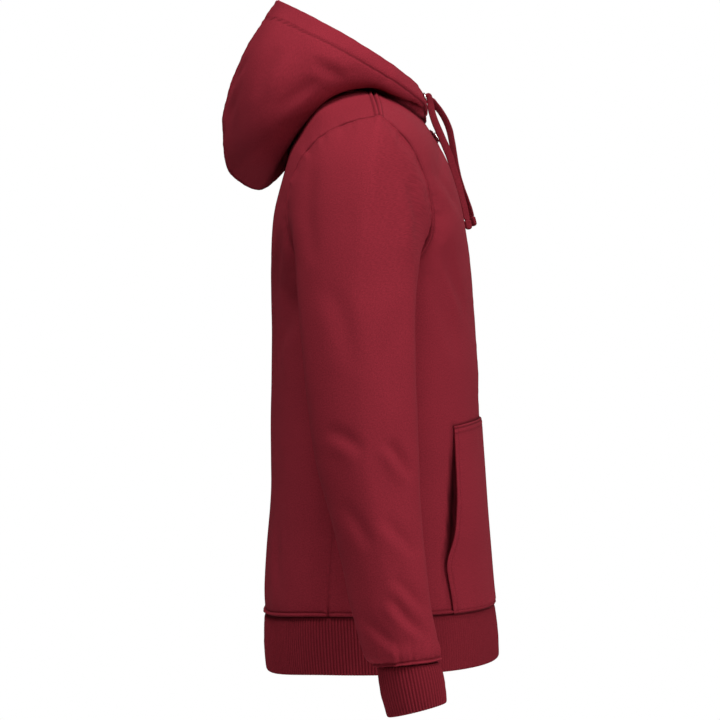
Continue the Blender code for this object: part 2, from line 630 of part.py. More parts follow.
def build_back(back, normal):
    sides = []
    for grid in (back, back - normal * WALL):
        half = drawn_back(grid, ("low", "high", "side"))
        half = neck_drawn_back(half, BODY_ROWS + BACK_CHEST_ROWS)
        half[: BODY_ROWS + BACK_CHEST_ROWS + 1, 0, 0] = 0
        sides.append(np.concatenate([half[:, ::-1], mirrored(half)], axis=1))
    cloth("back", sides[0], sides[1], CLOTH, parting=(PANEL_COLUMNS, BODY_ROWS + BACK_CHEST_ROWS))


def neck_drawn_back(grid, start):
    """Moves in only the neckline's part of the centre border, from this row up."""
    moved = grid.copy()
    below = moved[start - 1 : start, 0] - moved[start : start + 1, 0]
    step = np.concatenate([below, moved[start + 1 :, 1] - moved[start + 1 :, 0]])
    moved[start:, 0] += step / np.linalg.norm(step, axis=1, keepdims=True) * SEAM_GAP / 2
    return moved


def build_hem():
    """The rib band from one zip edge round the back to the other."""
    curves = []
    for ring, side_drop, back_drop in ((HEM_TOP, SIDE_DROP, BACK_DROP), (HEM_BOTTOM, HEM_SIDE_DROP, HEM_BACK_DROP)):
        front_arc, back_arc = ring_arcs(ring, side_drop, back_drop)
        half = np.concatenate(
            [arcs(np.array([front_arc]), ARC_STEPS)[0], arcs(np.array([back_arc]), ARC_STEPS)[0][::-1][1:]]
        )
        curves.append(np.concatenate([half, mirrored(half)[::-1][1:]]))
    length = np.linalg.norm(np.diff(curves[1], axis=0), axis=1).sum()
    count = 2 * round(length / RIB_PITCH) + 1
    top, bottom = (evenly(curve, count) for curve in curves)
    top[:, 2] -= SEAM_GAP
    forward = (bottom[:, 1] - RIB_FADE[0]) / (RIB_FADE[1] - RIB_FADE[0])
    heights = RIB_HEIGHT * (1 - RIB_FLATTER * ease(forward))
    ribbed("hem_band", top, bottom, heights, RIB_WALL, RIB, wrap=False)


def build_cuffs():
    angles = np.linspace(0, 2 * math.pi, CURVE_STEPS)
    top, bottom = (loop_points(loop, angles) for loop in (CUFF_TOP, CUFF_BOTTOM))
    top = top + (bottom - top) / np.linalg.norm(bottom - top, axis=1, keepdims=True) * SEAM_GAP
    length = np.linalg.norm(np.diff(bottom, axis=0), axis=1).sum()
    count = INNER_EVERY * round(2 * length / RIB_PITCH / INNER_EVERY)
    top, bottom = (evenly(curve, count + 1)[:-1] for curve in (top, bottom))
    heights = np.full(count, RIB_HEIGHT)
    for side in (1, -1):
        scale = [side, 1, 1]
        order = slice(None, None, side)
        ribbed(f"cuff_{side_name(side)}", top[order] * scale, bottom[order] * scale, heights, RIB_WALL, RIB, wrap=True)


class Front:
    """The front panel's surface, read by height on the centre line and by distance out from it."""

    def __init__(self, rows):
        self.shares = np.linspace(0, 1, CURVE_STEPS)
        self.curves = smooth(rows, self.shares)
        self.rows = rows

    def at(self, height, out):
        centre = self.curves[:, 0, 2]
        climbs = np.searchsorted(centre, height)
        share = np.interp(height, centre[: climbs + 2], self.shares[: climbs + 2])
        curve = arcs(smooth(self.rows, [share]), ARC_STEPS)[0]
        return np.array([np.interp(out, curve[:, 0], curve[:, k]) for k in range(3)])


def build_pockets(curves):
    """Laid on the front: its columns follow the panel's, then spread to the pocket's own edge."""
    table = np.array(POCKET)[::-1]
    rows = curves[: POCKET_ROWS + 1]
    fine = arcs(rows, CURVE_STEPS)
    heights = np.array([np.interp(POCKET_EDGE_NEAR, row[:, 0], row[:, 2]) for row in fine])
    edge, gape = (np.interp(heights, table[:, 0], table[:, k]) for k in (1, 2))
    grid = []
    for row, out in zip(fine, edge):
        even = np.linspace(0, 1, len(row))
        free = np.interp(out, row[:, 0], even)
        sewn = np.arange(POCKET_SEWN) / PANEL_COLUMNS
        t = np.concatenate([sewn, np.linspace(sewn[-1], free, POCKET_FREE + 1)[1:]])
        grid.append([[np.interp(x, even, row[:, k]) for k in range(3)] for x in t])
    grid = np.array(grid)
    normal = normals_of(grid)
    grid[0] += (grid[1] - grid[0]) / np.linalg.norm(grid[1] - grid[0], axis=1, keepdims=True) * SEAM_GAP
    across = np.linspace(0, 1, grid.shape[1])
    up = np.linspace(0, 1, len(grid))[:, None]
    middle = 4 * up * (1 - up) * np.sin(math.pi * across * 0.5)
    standoff = POCKET_GAP + POCKET_FULLNESS * middle + gape[:, None] * across**4
    outer = grid + normal * (standoff + WALL)[..., None]
    inner = grid + normal * standoff[..., None]
    cloth("pocket_left", outer, inner, CLOTH)
    cloth("pocket_right", mirrored(outer), mirrored(inner), CLOTH, flip=True)


def build_zip(front):
    """The chain between the front edges and a tape behind each, from the band's lower edge up."""
    edge = [(ZIP_HALF, HEM_BOTTOM.front, HEM_BOTTOM.height)]
    edge += [tuple(front.at(height, ZIP_HALF)) for height in (*ZIP_ROWS, ZIP_TOP)]
    outs = TAPE_EDGE + TAPE_WIDTH * np.array([0, 0.5, 1])
    tape = np.array([[(x, y + TAPE_LEAN * (x - TAPE_EDGE), z) for x in outs] for _, y, z in edge])
    normal = normals_of(tape)
    outer, inner = tape - normal * TAPE_BEHIND, tape - normal * (TAPE_BEHIND + TAPE_WALL)
    cloth("zip_tape_left", outer, inner, TAPE)
    cloth("zip_tape_right", mirrored(outer), mirrored(inner), TAPE, flip=True)

    edge[-1] = front.at(SLIDER_AT - SLIDER_SIZE[2] / 2 - CHAIN_SHORT, ZIP_HALF)
    chain = np.array([[(x, y, z) for x in (-CHAIN_HALF, 0, CHAIN_HALF)] for _, y, z in edge])
    cloth("zip_chain", chain, chain - normals_of(chain) * CHAIN_THICK, CHAIN)


def slope_at(front, height):
    """Lean of the centre-front line from the vertical, forward as it goes down."""
    low, high = (front.at(height + step, ZIP_HALF) for step in (-SLOPE_STEP, SLOPE_STEP))
    return math.atan2(high[1] - low[1], high[2] - low[2])


def build_slider(front):
    at = front.at(SLIDER_AT, ZIP_HALF)
    tilt = Matrix.Rotation(-slope_at(front, SLIDER_AT), 4, "X")
    frame = Matrix.Translation((0, at[1], at[2])) @ tilt
    ahead = Matrix.Translation((0, -SLIDER_FORWARD, 0))
    body = rounded_box("zip_slider", SLIDER_SIZE, SLIDER_EDGE, frame @ ahead, METAL)
    face = -SLIDER_FORWARD - SLIDER_SIZE[1] / 2
    axis = Matrix.Translation(frame @ Vector((0, face - PULL_STANDOFF, BAIL_ABOVE))) @ tilt
    across = Matrix.Rotation(math.pi / 2, 4, "Y")
    bail = torus("bail_cutter", BAIL_RADIUS, BAIL_WIRE, axis @ across, METAL)
    make_cutter(bail)
    boolean(body, bail, "UNION")

    hinge = bpy.data.objects.new("pull_axis", None)
    PARTS.objects.link(hinge)
    hinge.matrix_world = axis
    length = PULL_SIZE[2]
    hang = Matrix.Translation((0, 0, BAIL_WIRE + SEAM_GAP - length / 2))
    pull = rounded_box("zip_pull", PULL_SIZE, METAL_EDGE, hang, METAL)
    drop = Matrix.Translation((0, 0, -PULL_RIM - PULL_EYE[1] / 2))
    eye = rounded_box("eye_cutter", (PULL_EYE[0], 6 * PULL_SIZE[1], PULL_EYE[1]), EYE_EDGE, drop, METAL)
    make_cutter(eye)
    boolean(pull, eye, "DIFFERENCE")
    for piece in (pull, eye):
        piece.parent = hinge


def boolean(obj, other, operation):
    change = obj.modifiers.new(other.name, "BOOLEAN")
    change.operation = operation
    change.object = other


def make_cutter(obj):
    PARTS.objects.unlink(obj)
    CUTTERS.objects.link(obj)
    obj.hide_render = True
    obj.display_type = "WIRE"


def rounded_box(name, size, radius, matrix, finish):
    bm = bmesh.new()
    bmesh.ops.create_cube(bm, size=1, matrix=Matrix.Diagonal((*size, 1)))
    mesh = bpy.data.meshes.new(name)
    bm.to_mesh(mesh)
    bm.free()
    made = add_object(name, mesh, finish)
    made.matrix_world = matrix
    bevel = made.modifiers.new("rounding", "BEVEL")
    bevel.width = radius
    bevel.segments = 2
    return made


def torus(name, radius, wire, matrix, finish):
    bpy.ops.mesh.primitive_torus_add(
        major_radius=radius, minor_radius=wire, major_segments=18, minor_segments=6
    )
    made = bpy.context.object
    made.name = name
    made.matrix_world = matrix
    made.data.materials.append(material(finish))
    for home in list(made.users_collection):
        home.objects.unlink(made)
    PARTS.objects.link(made)
    return made


def build_tabs(front):
    """Folded tape ends, sewn down on the fronts beside the slider."""
    width, height = TAB_SIZE
    heights = np.linspace(ZIP_TOP - height, ZIP_TOP, 4)
    outs = ZIP_HALF + TAB_OFF + np.linspace(0, width, 3)
    grid = np.array([[front.at(h, out) for out in outs] for h in heights])
    normal = normals_of(grid)
    inner, outer = grid + normal * TAB_OFF, grid + normal * (TAB_OFF + TAB_WALL)
    cloth("zip_tab_left", outer, inner, TAPE)
    cloth("zip_tab_right", mirrored(outer), mirrored(inner), TAPE, flip=True)


def hood_place(hood, normal, out, share):
    """The hood's surface at this share of its rise, this far out from the centre in front."""
    row = round(share * (len(hood) - 1))
    widest = hood[row, :, 0].argmax()
    line, facing = hood[row, : widest + 1], normal[row, : widest + 1]
    place = np.array([np.interp(out, line[:, 0], line[:, k]) for k in range(3)])
    facing = np.array([np.interp(out, line[:, 0], facing[:, k]) for k in range(3)])
    return place, facing / np.linalg.norm(facing)


def build_cords(hood, normal):
    place, facing = hood_place(hood, normal, EYELET_OUT, EYELET_SHARE)
    for side, route in ((1, CORD_LEFT), (-1, CORD_RIGHT)):
        at = place * [side, 1, 1]
        out = facing * [side, 1, 1]
        turn = Vector(out).to_track_quat("Z", "Y").to_matrix().to_4x4()
        centre = Matrix.Translation(at + out * (EYELET_WIRE + SEAM_GAP))
        torus(f"eyelet_{side_name(side)}", EYELET_RADIUS, EYELET_WIRE, centre @ turn, METAL)
        start = np.array(at + out * (CORD_RADIUS + EYELET_WIRE * 3))
        points = smooth([start, *route], np.linspace(0, 1, CORD_POINTS))
        line = bpy.data.curves.new(f"drawcord_{side_name(side)}", "CURVE")
        line.dimensions = "3D"
        line.bevel_depth = CORD_RADIUS
        line.bevel_resolution = 2
        line.use_fill_caps = True
        spline = line.splines.new("POLY")
        spline.points.add(len(points) - 1)
        for point, target in zip(spline.points, points):
            point.co = (*target, 1)
        add_object(f"drawcord_{side_name(side)}", line, CORD)
        down = points[-1] - points[-2]
        down = down / np.linalg.norm(down)
        end = Vector(points[-1] + down * (SEAM_GAP + CORD_END[2] / 2))
        tilt = Vector(-down).to_track_quat("Z", "Y").to_matrix().to_4x4()
        where = Matrix.Translation(end) @ tilt
        rounded_box(f"cord_end_{side_name(side)}", CORD_END, CORD_END_EDGE, where, CORD)


def clear_scene():
    for obj in list(bpy.data.objects):
        bpy.data.objects.remove(obj, do_unlink=True)


def new_collection(name):
    made = bpy.data.collections.new(name)
    bpy.context.scene.collection.children.link(made)
    return made


clear_scene()
PARTS = new_collection("zip_up_hoodie")
CUTTERS = new_collection("cutters")
front_rows, front_curves, hood, normals = build_cloth()
front = Front(front_rows)
build_hem()
build_cuffs()
build_pockets(front_curves)
build_zip(front)
build_slider(front)
build_tabs(front)
build_cords(hood, normals["hood"])
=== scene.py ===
# The zip-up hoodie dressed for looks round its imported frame.
# Metres, +Z up, -Y towards the wearer's front, +X to the wearer's left.
import math

import bmesh
import bpy
import numpy as np
from mathutils import Matrix, Vector
from mathutils.kdtree import KDTree


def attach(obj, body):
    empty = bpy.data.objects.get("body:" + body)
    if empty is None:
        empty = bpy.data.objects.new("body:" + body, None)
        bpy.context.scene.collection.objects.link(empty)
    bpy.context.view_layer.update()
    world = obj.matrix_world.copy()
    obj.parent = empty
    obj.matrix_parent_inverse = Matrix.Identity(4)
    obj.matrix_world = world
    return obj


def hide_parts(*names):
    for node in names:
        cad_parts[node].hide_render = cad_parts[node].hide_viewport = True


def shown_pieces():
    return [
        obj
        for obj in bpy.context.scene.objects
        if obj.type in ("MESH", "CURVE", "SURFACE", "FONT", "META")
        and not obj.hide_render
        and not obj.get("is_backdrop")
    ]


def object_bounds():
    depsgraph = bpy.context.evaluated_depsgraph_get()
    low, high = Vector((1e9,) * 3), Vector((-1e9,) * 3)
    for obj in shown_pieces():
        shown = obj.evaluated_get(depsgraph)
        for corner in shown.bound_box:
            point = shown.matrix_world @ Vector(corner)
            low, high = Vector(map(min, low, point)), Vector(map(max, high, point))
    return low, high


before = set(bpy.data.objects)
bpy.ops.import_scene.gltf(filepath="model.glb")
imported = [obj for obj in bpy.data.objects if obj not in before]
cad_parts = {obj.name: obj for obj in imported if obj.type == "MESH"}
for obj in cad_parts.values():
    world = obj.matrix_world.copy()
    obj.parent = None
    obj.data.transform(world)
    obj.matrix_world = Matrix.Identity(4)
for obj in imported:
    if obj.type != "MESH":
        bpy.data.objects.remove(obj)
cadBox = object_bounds()
bpy.ops.object.select_all(action="DESELECT")
print("frame loaded")

studio = {
    "camera": (-3.1, 0.012, -0.3156),
    "lens": 129.2,
    "sensor": 36,
    "floorHeight": -1.05,
    "floorRadius": 1.85,
    "backdrop": (1.0, 1.0, 1.0),
    "fill": 0.06,
    # name, place, aim, size, watts
    "lamps": [
        ("key", (-1.8, -2.1, 1.9), (0.0, 0.0, -0.10), 1.0, 37),
        ("top", (-1.1, 0.3, 2.1), (0.0, 0.0, 0.2), 1.0, 48),
        ("side", (-3.0, 0.2, 1.0), (0.0, 0.0, 0.25), 1.0, 6),
        ("low", (-1.6, -2.6, -0.1), (0.0, 0.0, -0.10), 1.0, 26),
        ("behind", (-0.9, 1.4, 2.5), (0.0, 0.1, 0.2), 0.9, 17),
        ("far", (2.4, -1.2, 0.9), (0.0, 0.0, -0.3), 1.5, 14),
    ],
}


def linked(name, data):
    made = bpy.data.objects.new(name, data)
    bpy.context.scene.collection.objects.link(made)
    return made


def setCamera():
    camera = linked("camera", bpy.data.cameras.new("camera"))
    camera.location = studio["camera"]
    camera.rotation_euler = (math.pi / 2, 0, -math.pi / 2)
    camera.data.sensor_width = studio["sensor"]
    camera.data.lens = studio["lens"]
    bpy.context.scene.camera = camera


setCamera()


# Curves and surfaces that the whole garment is read from
def smoothRows(rows, shares):
    rows = np.asarray(rows, float)
    steps = np.linalg.norm(np.diff(rows.reshape(len(rows), -1), axis=0), axis=1)
    knots = np.concatenate([[0], np.cumsum(steps)]) / steps.sum()
    ones = [1] * (rows.ndim - 1)
    spans = np.diff(knots).reshape(-1, *ones)
    slopes = np.diff(rows, axis=0) / spans
    inner = (slopes[:-1] * spans[1:] + slopes[1:] * spans[:-1]) / (spans[:-1] + spans[1:])
    tangents = np.concatenate([slopes[:1], inner, slopes[-1:]])
    shares = np.asarray(shares, float)
    at = np.clip(np.searchsorted(knots, shares, "right") - 1, 0, len(rows) - 2)
    width = (knots[at + 1] - knots[at]).reshape(-1, *ones)
    t = (shares - knots[at]).reshape(-1, *ones) / width
    return (
        (2 * t**3 - 3 * t**2 + 1) * rows[at]
        + (t**3 - 2 * t**2 + t) * width * tangents[at]
        + (3 * t**2 - 2 * t**3) * rows[at + 1]
        + (t**3 - t**2) * width * tangents[at + 1]
    )


def knotShare(rows, index):
    flat = np.asarray(rows, float).reshape(len(rows), -1)
    steps = np.linalg.norm(np.diff(flat, axis=0), axis=1)
    return steps[:index].sum() / steps.sum()


def arcGrid(rows, t):
    weights = np.stack([(1 - t) ** 3, 3 * t * (1 - t) ** 2, 3 * t**2 * (1 - t), t**3])
    return np.einsum("rkx,kc->rcx", rows, weights)


def ease(t):
    t = np.clip(t, 0, 1)
    return t * t * (3 - 2 * t)


def bump(distance, width):
    return np.exp(-((distance / width) ** 2))


bothSides = (("right", -1), ("left", 1))


def onSide(points, sign):
    return points * np.array([sign, 1, 1])


def unit(vectors):
    return vectors / np.maximum(np.linalg.norm(vectors, axis=-1, keepdims=True), 1e-12)


def normalsOf(grid, wrap=False):
    if wrap:
        padded = np.concatenate([grid[:, -1:], grid, grid[:, :1]], axis=1)
        across = padded[:, 2:] - padded[:, :-2]
    else:
        across = np.gradient(grid, axis=1)
    return unit(np.cross(across, np.gradient(grid, axis=0)))


def pathLength(points, axis=0):
    steps = np.linalg.norm(np.diff(points, axis=axis), axis=-1)
    start = np.zeros_like(np.take(steps, [0], axis=axis))
    return np.concatenate([start, np.cumsum(steps, axis=axis)], axis=axis)


def pointsAt(at, length, line):
    return np.stack([np.interp(at, length, line[:, k]) for k in range(3)], axis=1)


def evened(values, reach):
    # each value becomes the mean of those within this many places of it
    width = 2 * reach + 1
    return np.convolve(np.pad(values, reach, mode="edge"), np.ones(width) / width, "valid")


# Worn form: level sections of the body, then arcs from the centre line out to the armhole
body = {
    "wall": 0.0022,
    "halfWidth": 0.30,
    "zipHalf": 0.0048,
    "hemRoll": 0.0021,
    # height, front, back, side x, side y
    "rings": [
        (-0.6050, -0.1475, 0.1250, 0.1900, 0.048),
        (-0.5850, -0.1452, 0.1260, 0.1925, 0.048),
        (-0.5320, -0.1408, 0.1236, 0.1940, 0.045),
        (-0.4600, -0.1352, 0.1182, 0.1960, 0.041),
        (-0.4000, -0.1310, 0.1177, 0.1985, 0.037),
        (-0.3320, -0.1290, 0.1172, 0.2020, 0.032),
        (-0.2680, -0.1250, 0.1170, 0.2040, 0.026),
        (-0.2360, -0.1225, 0.1178, 0.2050, 0.022),
    ],
    "pocketTop": 4,
    "frontRise": 0.0165,
    "sideDrop": 0.001,
    "backDrop": 0.011,
    "frontReach": 0.65,
    "backReach": 0.62,
    "sideReach": 0.67,
    "sideBulge": 0.12,
    # centre, pull at the centre, pull at the armhole, armhole
    "chest": [
        ((0, -0.1195, -0.200), (0.125, -0.1205, -0.205), (0.207, -0.083, -0.213), (0.1990, -0.0250, -0.219)),
        ((0, -0.1125, -0.155), (0.100, -0.1155, -0.164), (0.186, -0.100, -0.178), (0.1910, -0.0585, -0.186)),
        ((0, -0.0985, -0.100), (0.078, -0.1045, -0.115), (0.152, -0.097, -0.138), (0.1880, -0.0680, -0.152)),
        ((0, -0.0838, -0.062), (0.070, -0.0965, -0.089), (0.148, -0.093, -0.120), (0.1885, -0.0665, -0.137)),
        ((0, -0.0650, -0.034), (0.063, -0.0860, -0.068), (0.145, -0.087, -0.104), (0.1900, -0.0645, -0.122)),
    ],
    "frontNeck": [
        (
            (0.0425, -0.0566, -0.0288), (0.088, -0.0735, -0.050),
            (0.155, -0.0740, -0.0750), (0.197, -0.0535, -0.092),
        ),
        (
            (0.0736, -0.0338, -0.0164), (0.112, -0.0465, -0.0275),
            (0.168, -0.0505, -0.0470), (0.209, -0.0375, -0.0660),
        ),
    ],
    "shoulder": (
        (0.085, -0.0025, -0.0030), (0.131, -0.0045, -0.0095),
        (0.183, -0.0085, -0.0255), (0.222, -0.0105, -0.0430),
    ),
    "upperBack": [
        ((0, 0.1178, -0.205), (0.118, 0.1178, -0.208), (0.194, 0.1000, -0.214), (0.2010, 0.0580, -0.220)),
        ((0, 0.1158, -0.172), (0.105, 0.1162, -0.174), (0.178, 0.1115, -0.180), (0.1975, 0.0850, -0.184)),
        ((0, 0.1105, -0.130), (0.092, 0.1122, -0.133), (0.158, 0.1085, -0.143), (0.1950, 0.0937, -0.148)),
        ((0, 0.1020, -0.098), (0.082, 0.1040, -0.102), (0.150, 0.1025, -0.112), (0.1965, 0.0905, -0.119)),
        ((0, 0.0900, -0.056), (0.070, 0.0955, -0.065), (0.148, 0.0930, -0.084), (0.2015, 0.0775, -0.090)),
        ((0, 0.0755, -0.022), (0.060, 0.0830, -0.036), (0.148, 0.0815, -0.068), (0.2050, 0.0680, -0.078)),
        ((0, 0.0600, 0.005), (0.055, 0.0720, -0.012), (0.150, 0.0715, -0.054), (0.2085, 0.0585, -0.0685)),
    ],
    "backNeck": [
        ((0.0425, 0.0516, 0.005), (0.088, 0.0600, -0.010), (0.16, 0.056, -0.042), (0.2135, 0.0405, -0.0575)),
        ((0.0736, 0.0288, 0.003), (0.112, 0.0330, -0.008), (0.17, 0.027, -0.033), (0.218, 0.0175, -0.0485)),
    ],
}


def ringArcs(ring, sideDrop, backDrop, rise=0.0):
    height, frontY, backY, sideX, sideY = ring
    side = np.array([sideX, sideY, height - sideDrop])
    heights, fronts = [other[0] for other in body["rings"]], [other[1] for other in body["rings"]]
    centreY = np.interp(height + rise, heights, fronts) if rise else frontY
    front = np.array([body["zipHalf"], centreY, height + rise])
    back = np.array([0, backY, height - backDrop])
    swing = np.array([body["sideBulge"] * sideX, -body["sideReach"] * (sideY - frontY), 0])
    follow = -unit(swing) * body["sideReach"] * (backY - sideY)
    frontArc = [front, front + [body["frontReach"] * sideX, 0, 0], side + swing, side]
    backArc = [back, back + [body["backReach"] * sideX, 0, 0], side + follow, side]
    return frontArc, backArc


def bodyRows():
    rings = body["rings"]
    span = rings[-1][0] - rings[0][0]
    peak = [rings[k][0] for k in (0, body["pocketTop"], -1)]
    pairs = []
    for ring in rings:
        share = (rings[-1][0] - ring[0]) / span
        rise = body["frontRise"] * np.interp(ring[0], peak, [0, 1, 0])
        pairs.append(ringArcs(ring, body["sideDrop"] * share, body["backDrop"] * share, rise))
    front = [pair[0] for pair in pairs] + [*body["chest"], *body["frontNeck"], body["shoulder"]]
    back = [pair[1] for pair in pairs] + [*body["upperBack"], *body["backNeck"], body["shoulder"]]
    front = np.array(front, float)
    front[:, 0, 0] = np.maximum(front[:, 0, 0], body["zipHalf"])
    return front, np.array(back, float)


def stops(pairs, near=(), length=0.7):
    # even steps up to each stop, with more lines at the given distances from both ends
    found, start = [0.0], 0.0
    for stop, count in pairs:
        found += list(np.linspace(start, stop, count + 1)[1:])
        start = stop
    for distance in near:
        found += [distance / length, 1 - distance / length]
    return np.unique(np.round(found, 7))


edgeLines = (0.0008, 0.0016, 0.0026, 0.0038, 0.0048, 0.0056, 0.0064, 0.0074, 0.009, 0.0115, 0.015)


def panelGrid(rows, neckFrom, counts, columns):
    count = len(body["rings"])
    pocket, underarm, neck = (knotShare(rows, k) for k in (body["pocketTop"], count - 1, neckFrom))
    shares = stops(list(zip((pocket, underarm, neck, 1), counts)), edgeLines)
    curves = smoothRows(rows, shares)
    sides = rows[:count, 3]
    low = shares <= underarm + 1e-6
    sidePocket = knotShare(sides, body["pocketTop"])
    curves[low, 3] = smoothRows(sides, np.interp(shares[low], [0, pocket, underarm], [0, sidePocket, 1]))
    across = stops([(1, columns)], edgeLines, body["halfWidth"])
    return arcGrid(curves, across), int(low.sum()) - 1, int(np.searchsorted(shares, neck - 1e-6))


sleeve = {
    # outside x, z, inside x, z, middle y, half depth, lift at the front
    "loops": [
        (0.2220, -0.043, 0.2050, -0.236, 0.0133, 0.0804, 0.0),
        (0.2450, -0.055, 0.2090, -0.239, 0.0135, 0.0780, 0.0),
        (0.2660, -0.078, 0.2120, -0.246, 0.0140, 0.0740, 0.0),
        (0.2840, -0.114, 0.2145, -0.256, 0.0150, 0.0702, 0.0),
        (0.2980, -0.164, 0.2165, -0.270, 0.0158, 0.0670, 0.0),
        (0.3090, -0.228, 0.2185, -0.292, 0.0162, 0.0642, 0.0),
        (0.3170, -0.297, 0.2205, -0.327, 0.0135, 0.0625, 0.0),
        (0.3230, -0.365, 0.2230, -0.372, 0.0095, 0.0600, 0.0),
        (0.3250, -0.430, 0.2280, -0.432, 0.0040, 0.0562, 0.0),
        (0.3240, -0.490, 0.2330, -0.490, -0.0045, 0.0500, 0.0),
        (0.3210, -0.545, 0.2370, -0.545, -0.0148, 0.0457, 0.002),
        (0.3170, -0.595, 0.2400, -0.595, -0.0245, 0.0430, 0.004),
        (0.3135, -0.632, 0.2430, -0.632, -0.0345, 0.0395, 0.006),
        (0.3105, -0.6465, 0.2455, -0.6475, -0.0405, 0.0338, 0.002),
    ],
    "cuffBottom": (0.3085, -0.6955, 0.2480, -0.6985, -0.0502, 0.0318, 0.008),
    "armholeFade": 0.35,
    "capBlend": 0.09,
    "crowding": 0.9,
    "length": 0.62,
    "rows": 124,
    "cuffRoll": 0.0024,
    # fullness over the cuff: height, distance from its seam, reach
    "aboveCuff": (0.0026, 0.0125, 0.0095),
    "crown": {"around": 0.050, "down": 0.022, "rounds": 160},
}


def loopPoints(loop, angles):
    outX, outZ, inX, inZ, middleY, halfDepth, lift = loop
    outside, inside = np.array([outX, middleY, outZ]), np.array([inX, middleY, inZ])
    middle, arm = (outside + inside) / 2, (outside - inside) / 2
    return middle + np.outer(np.cos(angles), arm) + np.outer(np.sin(angles), [0, halfDepth, -lift])


def sleeveGrid(armhole):
    outX, outZ, inX, inZ, middleY, halfDepth, _ = sleeve["loops"][0]
    arm = np.array([outX - inX, 0, outZ - inZ]) / 2
    offset = armhole - np.array([outX + inX, 2 * middleY, outZ + inZ]) / 2
    angles = np.unwrap(np.arctan2(offset[:, 1] / halfDepth, offset @ arm / (arm @ arm)))
    around = pathLength(np.concatenate([armhole, armhole[:1]]))
    even = 2 * math.pi * around[:-1] / around[-1]
    leftOver = armhole - loopPoints(sleeve["loops"][0], angles)
    spread = np.exp(-((np.linspace(-2, 2, 41)) ** 2))
    wrapped = np.concatenate([leftOver[-20:], leftOver, leftOver[:20]])
    softened = np.stack([np.convolve(wrapped[:, k], spread / spread.sum(), "valid") for k in range(3)], 1)
    shares = stops([(1, sleeve["rows"])], edgeLines, sleeve["length"]) ** sleeve["crowding"]
    shares = np.unique(np.concatenate([shares, np.array(edgeLines[:6]) / sleeve["length"]]))
    rings = []
    for share, loop in zip(shares, smoothRows(sleeve["loops"], shares)):
        turn = ease(share / sleeve["armholeFade"])
        blend = ease(share / sleeve["capBlend"])
        remains = leftOver * (1 - blend) + softened * blend
        rings.append(loopPoints(loop, angles + turn * (even - angles)) + (1 - turn) * remains)
    return np.array(rings)


hood = {
    "neckOval": (0.085, -0.0025, 0.0625),
    "face": {"halfWidth": 0.117, "middle": (0.0235, 0.057), "half": (0.089, 0.057), "sway": 0.003},
    # rise, under, fold, heel, belly, upper at each 30 degrees from the throat to the back
    "folds": [
        ((0.0048, -0.0665, -0.030), (0.0048, -0.0675, -0.026), (0.0048, -0.0690, -0.021),
         (0.0048, -0.0695, -0.016), (0.0048, -0.0690, -0.011), (0.0048, -0.0675, -0.005)),
        ((0.0435, -0.0575, -0.023), (0.0470, -0.0595, -0.019), (0.0520, -0.0625, -0.017),
         (0.0570, -0.0635, -0.013), (0.0600, -0.0620, -0.008), (0.0610, -0.0580, 0.000)),
        ((0.0750, -0.0335, -0.008), (0.0830, -0.0340, -0.005), (0.0925, -0.0345, -0.0105),
         (0.1010, -0.0340, -0.0065), (0.1065, -0.0310, 0.005), (0.1070, -0.0260, 0.017)),
        ((0.0870, -0.0015, 0.006), (0.1000, 0.0010, 0.0035), (0.1140, 0.0050, -0.0025),
         (0.1250, 0.0090, 0.0025), (0.1320, 0.0160, 0.021), (0.1280, 0.0210, 0.041)),
        ((0.0770, 0.0310, 0.012), (0.1000, 0.0430, 0.001), (0.1210, 0.0570, -0.0180),
         (0.1325, 0.0650, -0.0115), (0.1385, 0.0720, 0.012), (0.1230, 0.0760, 0.055)),
        ((0.0460, 0.0580, 0.013), (0.0790, 0.0865, -0.043), (0.0910, 0.1070, -0.083),
         (0.1100, 0.1260, -0.072), (0.1180, 0.1380, -0.018), (0.0900, 0.1280, 0.058)),
        ((0.0, 0.0690, 0.012), (0.0, 0.1095, -0.094), (0.0, 0.1300, -0.1110),
         (0.0, 0.1650, -0.096), (0.0, 0.1775, -0.040), (0.0, 0.1550, 0.045)),
    ],
    "rows": 96,
    "columns": 84,
    "neckLength": 0.30,
    "height": 0.33,
    "hem": 0.024,
    "hemRadius": 0.0019,
    "hemSteps": (8, 12),
    # height at the front, what the back adds to it, period, reach
    "hemPuckers": (0.0010, 0.0011, 0.017, 0.011),
    # height, period, distance from the edge, reach
    "edgePuckers": (0.0007, 0.034, 0.006, 0.010),
    "wall": 0.0017,
    "sideCreases": [
        ([(0.1050, -0.0300), (0.0900, -0.0150), (0.0600, 0.0050)], 0.0022, 0.0090, 0.6),
        ([(0.1350, -0.0150), (0.1250, 0.0150), (0.1050, 0.0450)], 0.0020, 0.0100, 0.6),
        ([(0.0300, 0.0050), (0.0450, 0.0150), (0.0700, 0.0280)], 0.0016, 0.0080, 0.6),
    ],
    "backCreases": [
        ([(0.0150, -0.0300), (0.0550, -0.0150), (0.0900, 0.0100)], 0.0018, 0.0110, 0.6),
        ([(0.0200, 0.0150), (0.0500, 0.0250), (0.0850, 0.0350)], 0.0016, 0.0100, 0.6),
    ],
}


def rowBetween(table, share):
    at = share * (len(table) - 1)
    k = min(int(at), len(table) - 2)
    t = at - k
    before = table[k - 1] if k else 2 * table[k] - table[k + 1]
    after = table[k + 2] if k + 2 < len(table) else 2 * table[k + 1] - table[k]
    rise = 2 * before - 5 * table[k] + 4 * table[k + 1] - after
    turn = 3 * (table[k] - table[k + 1]) + after - before
    return table[k] + t / 2 * (table[k + 1] - before + t * (rise + t * turn))


